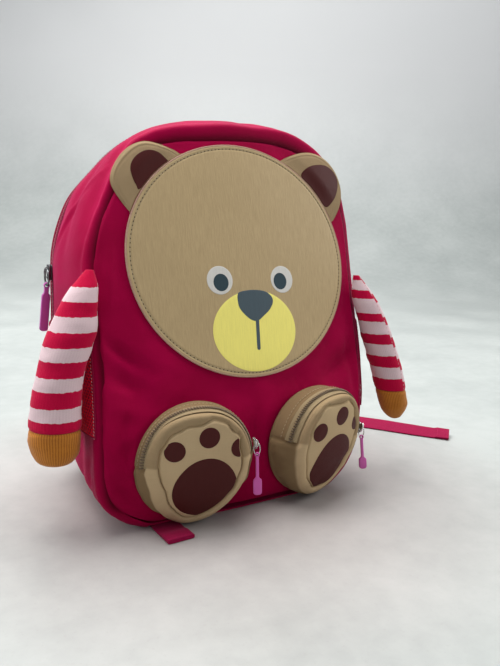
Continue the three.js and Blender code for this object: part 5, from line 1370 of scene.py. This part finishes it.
def press_out(side, P):
    s = -1 if side == "left" else 1
    u = 29.0 if side == "left" else 8.0
    y0 = front_y(loop(BODY, "fx", u) + 0 * P[..., 0], P[..., 2]) - 1
    v = np.clip((P[..., 1] - y0) / (MESH["yBack"] - y0), 0, 1)
    out = np.where(P[..., 2] < 140, 2.6 + MESH["mouth"] * np.sin(np.pi * v) ** 0.8, 1.0)
    blend = step(P[..., 2], 146, 134)
    out = 1.0 + (1.6 + MESH["mouth"] * np.sin(np.pi * v) ** 0.8) * blend
    lim = side_x(side, P[..., 1], P[..., 2], out) * s
    x = np.where(P[..., 1] < y0, P[..., 0], s * np.maximum(s * P[..., 0], lim))
    return np.stack([x, P[..., 1], P[..., 2]], -1)


def arm_station(side, z):
    s = np.linspace(0, len(ARMS[side]["z"]) - 1, 4000)
    return np.interp(-z, -along(ARMS[side], "z", s), s)


def arm_rings(side, a, b, n, cols, ripple):
    T, yaw = ARMS[side], math.radians(-30 if side == "left" else -32)
    ax, ay = np.array([math.cos(yaw), math.sin(yaw), 0]), np.array([-math.sin(yaw), math.cos(yaw), 0])
    s = np.linspace(a, b, n)
    c = np.stack([along(T, k, s) for k in "xyz"], -1)
    w, d = np.maximum(0, along(T, "w", s)), np.maximum(0, along(T, "d", s))
    t = np.linspace(0, 2 * np.pi, cols, endpoint=False)
    ring = np.cos(t)[None, :, None] * (w[:, None, None] * ax) + np.sin(t)[None, :, None] * (d[:, None, None] * ay)
    dist = np.concatenate([[0], np.cumsum(np.linalg.norm(np.diff(c, axis=0), axis=1))])
    P = c[:, None] + ring
    wr = 1 + ripple * (0.6 * noise(P, (16, 16, 7), 51) + 0.4 * noise(P, (8, 8, 5), 52)) / np.maximum(w, 4)[:, None]
    P = press_out(side, c[:, None] + ring * wr[..., None])
    arm = np.stack([dist[:, None] + 0 * t, t + 0 * dist[:, None], c[:, 2:3] + 0 * t], -1)
    return P, arm, c, dist


STRIPES = {
    "left": [(76, 85.8, 0), (85.8, 94.4, 1), (94.4, 105, 0), (105, 113.9, 1), (113.9, 124.2, 0), (124.2, 133, 1), (133, 142.6, 0),
             (142.6, 152.4, 1), (152.4, 161.9, 0), (161.9, 171.2, 1), (171.2, 180, 0)],
    "right": [(75, 85.4, 0), (85.4, 96, 1), (96, 105.9, 0), (105.9, 116.6, 1), (116.6, 125.4, 0), (125.4, 135.8, 1), (135.8, 143, 0),
              (143, 155, 1), (155, 161.6, 0), (161.6, 170.3, 1), (170.3, 176, 0)],
}


def arms():
    for side in ("left", "right"):
        rows = STRIPES[side]
        z0, z1 = 60.0, 185.0
        stops = [((max(lo, 60) - z0) / (z1 - z0), w) for lo, hi, w in rows]
        stops[0] = (0.0, stops[0][1])
        look = jersey(f"knit_look_{side}", (0.50, 0.003, 0.045), (0.72, 0.55, 0.575), stops, z0, z1, 3.0 if side == "left" else 5.6, 3.0)
        cut = arm_station(side, HAND_TOP[side] + 0.15)
        P, arm, c, dist = arm_rings(side, 0, cut, 150, 72, 0.8)
        neck = np.exp(-(((dist[-1] - dist) / 1.2) ** 2))
        P = P + (c[:, None] - P) * (0.05 * neck)[:, None, None] * np.array([1, 1, 0])
        ob = tube(f"sleeve_{side}", P, look, {"arm": arm})
        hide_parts(f"arm_{side}")
        Q, arm2, c2, dist2 = arm_rings(side, arm_station(side, HAND_TOP[side] - 0.15), len(ARMS[side]["z"]) - 1, 60, 72, 0.9)
        neck = np.exp(-((dist2 / 1.4) ** 2))
        Q = Q + (c2[:, None] - Q) * (0.05 * neck)[:, None, None] * np.array([1, 1, 0])
        st = np.stack([arm2[..., 0], arm2[..., 1] * 15, 0 * arm2[..., 0]], -1)
        ob = tube(f"hand_felt_{side}", Q, M["hand"], {"st": st})
        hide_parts(f"hand_{side}")
        # stitches that close the seam down the sleeve
        k = int(round((3.0 if side == "left" else 5.6) / (2 * np.pi) * 72)) % 72
        line = P[6:-3, k]
        R, _ = resample(line, 3.4)
        out = unit(np.array([1.0 if side == "right" else -1.0, -0.5, 0])) + 0 * R
        ob = capsules(f"sleeve_stitch_{side}", R + 0.05 * out, np.gradient(R, axis=0), out, 2.0, 0.45, 0.4, M["thread_pale"])


# ---------- mesh pockets ----------
def mesh_point(side, f, v, out=0.0):
    """f from 0 at the lower edge to 1 at the mouth, v from 0 at the front to 1 at the back."""
    m = MESH[side]
    f, v = np.broadcast_arrays(np.asarray(f, float), np.asarray(v, float))
    u = m["u0"] + (m["u1"] - m["u0"]) * f
    y0 = seam_y(u) + 1 + MESH["y0"]
    y = y0 + (MESH["yBack"] - y0) * v
    off = MESH["edge"] + MESH["mouth"] * np.clip(f, 0, 1) ** 1.3 * np.sin(np.pi * np.clip(v, 0, 1)) ** 0.8
    return gusset(u, y, off + out)


def mesh_pockets():
    for side in ("left", "right"):
        pitch = 2.5
        H = np.linalg.norm(np.diff(mesh_point(side, np.linspace(0, 1, 60), 0.5), axis=0), axis=1).sum()
        W = np.linalg.norm(np.diff(mesh_point(side, 0.6, np.linspace(0, 1, 60)), axis=0), axis=1).sum()
        nx, ny = int(W / pitch), int(H / (pitch * 0.866))
        pts, idx = [], {}

        def key(x, y):
            k = (round(x * 12), round(y * 12))
            if k not in idx:
                idx[k] = len(pts)
                pts.append((x, y))
            return idx[k]

        edges = set()
        r = 1 / math.sqrt(3)
        for j in range(-1, ny + 1):
            for i in range(-1, nx + 1):
                cx, cy = i + (0.5 if j % 2 else 0), j * 0.866
                hx = [key(cx + r * math.cos(math.radians(30 + 60 * k)), cy + r * math.sin(math.radians(30 + 60 * k))) for k in range(6)]
                for k in range(6):
                    p, q = hx[k], hx[(k + 1) % 6]
                    edges.add((min(p, q), max(p, q)))
        uv = np.array(pts) * pitch / np.array([W, H])
        E = np.array([e for e in edges if (uv[list(e)] > 0.004).all() and (uv[list(e)] < 0.996).all()])
        mid = MESH["wall"] / 2
        S = mesh_point(side, uv[:, 1], uv[:, 0], mid)
        A, B = S[E[:, 0]], S[E[:, 1]]
        O = mesh_point(side, uv[:, 1], uv[:, 0], mid + 1)[E[:, 0]] - A
        t = unit(B - A)
        s = unit(np.cross(t, O))
        k = unit(np.cross(s, t))
        rr, tt = 0.42, 0.3
        A, B = A - t * 0.12, B + t * 0.12
        ring = [(rr, 0), (0, tt), (-rr, 0), (0, -tt)]
        V = np.stack([A + a * s + b * k for a, b in ring] + [B + a * s + b * k for a, b in ring], 1)
        F0 = np.array([[0, 1, 5, 4], [1, 2, 6, 5], [2, 3, 7, 6], [3, 0, 4, 7], [3, 2, 1, 0], [4, 5, 6, 7]])
        F = (np.arange(len(A))[:, None, None] * 8 + F0).reshape(-1, 4)
        ob = make(f"mesh_net_{side}", V.reshape(-1, 3), F.tolist(), M["mesh"], sharp=60)
        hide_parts(f"mesh_pocket_{side}")
        # elastic binding at the mouth, gathered
        v = np.linspace(0, 1, 160)
        rings = []
        g = 0.25 * np.sin(v * W / 2.3 * 2 * np.pi)
        a = np.linspace(0, 2 * np.pi, 16, endpoint=False)
        base = mesh_point(side, 0.985, v, mid)
        upv = unit(mesh_point(side, 1.0, v, mid) - mesh_point(side, 0.93, v, mid))
        nv = unit(mesh_point(side, 0.985, v, mid + 1) - base)
        rings = base[:, None] + np.cos(a)[None, :, None] * (2.6 * upv[:, None]) + (np.sin(a)[None, :, None] * (0.62 + 0.12 * g)[:, None, None]) * nv[:, None]
        rings = rings - 1.6 * upv[:, None]
        d = v * W
        st = np.stack([d[:, None] + 0 * a, 2.6 * np.cos(a) + 0 * d[:, None], 0 * d[:, None] * a], -1)
        ob = tube(f"mesh_binding_{side}", rings, M["bind"], {"st": st})
        # edges caught in the seams
        f = np.linspace(0, 0.97, 90)
        for nm, vv in (("front", 0.004), ("back", 0.996)):
            line = mesh_point(side, f, vv, mid + 0.05)
            c = cable(f"mesh_edge_{side}_{nm}", line, 0.55, M["bind"], 8)
        line = mesh_point(side, 0.004, np.linspace(0, 1, 120), mid + 0.05)
        c = cable(f"mesh_edge_{side}_foot", line, 0.55, M["bind"], 8)
        line = mesh_point(side, f, 0.012, mid)
        R, _ = resample(line, 2.2)
        O = mesh_point(side, 0.5, 0.05, 3) - mesh_point(side, 0.5, 0.05, 0) + 0 * R
        c = capsules(f"mesh_overlock_{side}", R + 0.5 * unit(O), np.array([[0, 1.0, 0.5]]) + 0 * R, O, 2.0, 0.45, 0.4, M["thread_pale"])


# ---------- hardware ----------
def box_solid(name, size, at, mat, place, edge=0.35):
    x, y, z = (v / 2 for v in size)
    e = min(edge, x * 0.8, y * 0.8)
    o = arc(x - e, y - e, e, 0, 90, 5) + arc(-x + e, y - e, e, 90, 180, 5) + arc(-x + e, -y + e, e, 180, 270, 5) + arc(x - e, -y + e, e, 270, 360, 5)
    return outline_solid(name, [o], size[2], mat, lambda V: place(V + np.array(at)), min(edge, z * 0.7) * 0.8)


def bridge(name, half, height, width, thick, mat, place, across=False):
    """A low arch over a slider, along its own Y, or X where across."""
    a = np.radians(np.linspace(0, 180, 22))
    u, h = half * np.cos(a), height * np.sin(a) ** 0.7
    ring = [(width / 2 * c, thick / 2 * s) for c, s in zip(*section(12, 0.6))]
    p = np.stack([0 * u, u, h], -1)
    t = unit(np.gradient(p, axis=0))
    n = unit(np.cross(np.array([1.0, 0, 0]), t))
    R = np.array([[p[i] + np.array([c, 0, 0]) + s * n[i] for c, s in ring] for i in range(len(p))])
    if across:
        R = R[..., [1, 0, 2]]
    V = place(R.reshape(-1, 3)).reshape(R.shape)
    return tube(name, V, mat)


def slider(name, s, place, mat, node, across=False):
    w, l, d, b = s["wide"], s["long"], s["deep"], s["bridge"]
    # plate shaped like a shield: two shoulders and a narrow nose
    o = [(-w / 2, l / 2 - 1.2), (-w / 2 + 1.0, l / 2), (-0.7, l / 2 - 0.1), (0, l / 2 - 1.0), (0.7, l / 2 - 0.1), (w / 2 - 1.0, l / 2), (w / 2, l / 2 - 1.2),
         (w / 2, l * 0.02), (w / 2 - 0.9, -l * 0.25), (w / 2 - 1.3, -l / 2 + 0.6), (w / 2 - 1.9, -l / 2), (-w / 2 + 1.9, -l / 2), (-w / 2 + 1.3, -l / 2 + 0.6),
         (-w / 2 + 0.9, -l * 0.25), (-w / 2, l * 0.02)][::-1]
    outline_solid(name + "_plate", [o], d * 0.5, mat, lambda V: place(V + np.array([0, 0, d * 0.25])), 0.28)
    outline_solid(name + "_under", [o], d * 0.32, mat, lambda V: place(V + np.array([0, 0, -d * 0.32])), 0.2)
    bridge(name + "_bridge", l * 0.33, b * 0.92, 1.7, 0.75, mat, lambda V: place(V + np.array([0, 0, d / 2 - 0.1])), False)
    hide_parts(node)


def pull(name, top, end, facing, p, mat, node, window=0.0, link=None, link_mat=None):
    L = float(np.linalg.norm(np.array(top) - np.array(end)))
    r, n = p["wide"] / 2, p["neck"] / 2
    place = placed(top, end, facing)
    q, D = p["stem"], p["drop"]
    o = arc(0, -n, n, -20, 200, 18)
    o += [(-q, -n * 1.9), (-q, -D), (-q - (r - q) * 0.3, -D - 0.9), (-r * 0.93, -D - 1.9), (-r, -D - 3.2)]
    o += [(-r, -L + r * 0.7)] + arc(-r + r * 0.7, -L + r * 0.7, r * 0.7, 180, 270, 7)[1:]
    o += arc(r - r * 0.7, -L + r * 0.7, r * 0.7, 270, 360, 7) + [(r, -D - 3.2), (r * 0.93, -D - 1.9), (q + (r - q) * 0.3, -D - 0.9), (q, -D), (q, -n * 1.9)]
    holes = [arc(0, -n, n - 0.85, 0, 360, 15)[:-1]]
    if window:
        a, b = -D - 4.2, -L + 2.6
        k = r - 2.1
        holes.append(arc(0, a - k, k, 0, 180, 8) + arc(0, b + k, k, 180, 360, 8))
    ob = outline_solid(name, [o] + holes, p["deep"], mat, place, 0.5)
    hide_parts(node)
    return place, L


def ring_wire(name, centre, axis, r, wire, mat, squash=1.0, along_axis=None):
    ax = unit(np.array(axis, float))
    up = np.array(along_axis if along_axis is not None else [0, 0, 1.0], float)
    e1 = unit(up - ax * (ax @ up))
    e2 = np.cross(ax, e1)
    a = np.linspace(0, 2 * np.pi, 64, endpoint=False)
    path = np.array(centre) + r * np.cos(a)[:, None] * e1 + r * squash * np.sin(a)[:, None] * e2
    ob = cable(name, path, wire, mat, 12, True)
    return ob


def hardware():
    s = MAIN_SLIDER
    place = placed((s["x"], s["y"], s["z"]), (s["x"], s["y"], s["z"] - 1), (-1, 0, 0))
    slider("main_slider_body", s, place, M["dark_metal"], "main_slider")
    g = MAIN_RING
    ob = ring_wire("main_ring_wire", (g["x"], g["y"], g["z"]), (1, 0, 0), g["r"], g["tube"], M["dark_metal"])
    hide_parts("main_ring")
    p = MAIN_PULL
    pull("main_pull_tab", [p["top"][k] for k in "xyz"], [p["end"][k] for k in "xyz"], (0, -1, 0), p, M["pull_dark"], "main_pull")
    for side in ("left", "right"):
        q = PAW_SLIDER
        u = paw_station(side, q["deg"][side])
        a, d = paw_side(side, u, q["w"], q["lift"][side])
        b, _ = paw_side(side, u + 0.2, q["w"], q["lift"][side])
        place = placed(a, b, d)
        slider(f"paw_slider_body_{side}", q, place, M["bright_metal"], f"paw_slider_{side}")
        P = PAW_PULL
        top, end = [P[side]["top"][k] for k in "xyz"], [P[side]["end"][k] for k in "xyz"]
        facing = P[side]["facing"]
        pull(f"paw_pull_tab_{side}", top, end, facing, P, M["pull"], f"paw_pull_{side}")
        # wire link between slider and pull
        hi = a + d * (q["deep"] / 2 + 0.5)
        lo = np.array(top) - np.array([0, 0, 1.6])
        mid = (hi + lo) / 2
        ax = unit(np.cross(hi - lo, np.array(facing, float)))
        ring_wire(f"paw_link_{side}", mid, np.cross(unit(hi - lo), ax), np.linalg.norm(hi - lo) / 2 + 0.3, 0.42, M["bright_metal"],
                  2.3 / (np.linalg.norm(hi - lo) / 2 + 0.3), hi - lo)


# ---------- build, floor, light and camera ----------
front_panel()
gusset_cloth()
zip_band()
back_gusset()
back_panel()
face()
ears()
paws()
arms()
mesh_pockets()
straps()
buckles()
hardware()


def backdrop():
    """Floor that curves up into the wall behind."""
    y = np.concatenate([np.linspace(-3.0, 1.4, 30), 1.4 + 0.9 * np.sin(np.linspace(0, np.pi / 2, 30))[1:], np.full(14, 2.3)])
    z = np.concatenate([np.zeros(30), 0.9 - 0.9 * np.cos(np.linspace(0, np.pi / 2, 30))[1:], np.linspace(1.0, 4.5, 14)])
    x = np.linspace(-5, 5, 24)
    turn = math.radians(-32.4)
    V, F = [], []
    for i in range(len(y)):
        for j in range(24):
            V.append((x[j] * math.cos(turn) - y[i] * math.sin(turn), x[j] * math.sin(turn) + y[i] * math.cos(turn), z[i]))
    for i in range(len(y) - 1):
        for j in range(23):
            a = i * 24 + j
            F.append((a, a + 1, a + 25, a + 24))
    me = bpy.data.meshes.new("backdrop")
    me.from_pydata(V, [], F)
    me.shade_smooth()
    ob = bpy.data.objects.new("backdrop", me)
    bpy.context.scene.collection.objects.link(ob)
    me.materials.append(floor_look("backdrop_look"))


backdrop()


def area(name, at, aim, size, watts, color=(1, 1, 1), size_y=None):
    d = bpy.data.lights.new(name, "AREA")
    d.energy, d.color = watts, color
    d.shape, d.size, d.size_y = "RECTANGLE", size, size_y or size
    ob = bpy.data.objects.new(name, d)
    ob.location = at
    ob.rotation_euler = (Vector(aim) - Vector(at)).to_track_quat("-Z", "Y").to_euler()
    bpy.context.scene.collection.objects.link(ob)
    return ob


area("top_soft", (-0.15, 0.5, 1.9), (0, 0.05, 0.1), 1.7, 76, (1.0, 0.99, 0.97))
area("back_left", (-1.7, 0.7, 1.3), (0, 0, 0.15), 1.3, 25, (0.97, 0.985, 1.0))
area("right_front", (1.15, -0.42, 0.8), (0.05, -0.05, 0.14), 0.7, 7.5, (1.0, 0.985, 0.96))
area("front_fill", (-0.3, -2.2, 0.9), (0, 0, 0.15), 1.2, 3.5, (1.0, 0.98, 0.96))
area("wall_wash", (1.2, 1.0, 2.4), (1.3, 2.3, 1.0), 1.6, 20, (0.98, 0.99, 1.0))

world = bpy.data.worlds.new("room")
world.use_nodes = True
world.node_tree.nodes["Background"].inputs["Color"].default_value = (0.93, 0.95, 1.0, 1)
world.node_tree.nodes["Background"].inputs["Strength"].default_value = 0.30
bpy.context.scene.world = world

YAW, PITCH, ROLL = math.radians(32.4), math.radians(9.83), math.radians(2.31)
look = Vector((math.sin(YAW) * math.cos(PITCH), math.cos(YAW) * math.cos(PITCH), -math.sin(PITCH)))
right = Vector((math.cos(YAW), -math.sin(YAW), 0))
up = right.cross(look)
right2 = math.cos(ROLL) * right + math.sin(ROLL) * up
up2 = -math.sin(ROLL) * right + math.cos(ROLL) * up
cam = bpy.data.cameras.new("photo_view")
cam.lens, cam.sensor_width, cam.sensor_fit = 33.48, 36, "AUTO"
cam.clip_start, cam.clip_end = 0.01, 30
cob = bpy.data.objects.new("photo_view", cam)
rot = Matrix((right2, up2, -look)).transposed()
cob.matrix_world = Matrix.Translation((-0.24211, -0.43848, 0.21167)) @ rot.to_4x4()
bpy.context.scene.collection.objects.link(cob)
bpy.context.scene.camera = cob
bpy.context.scene.view_settings.view_transform = "Standard"
bpy.context.scene.view_settings.look = "None"
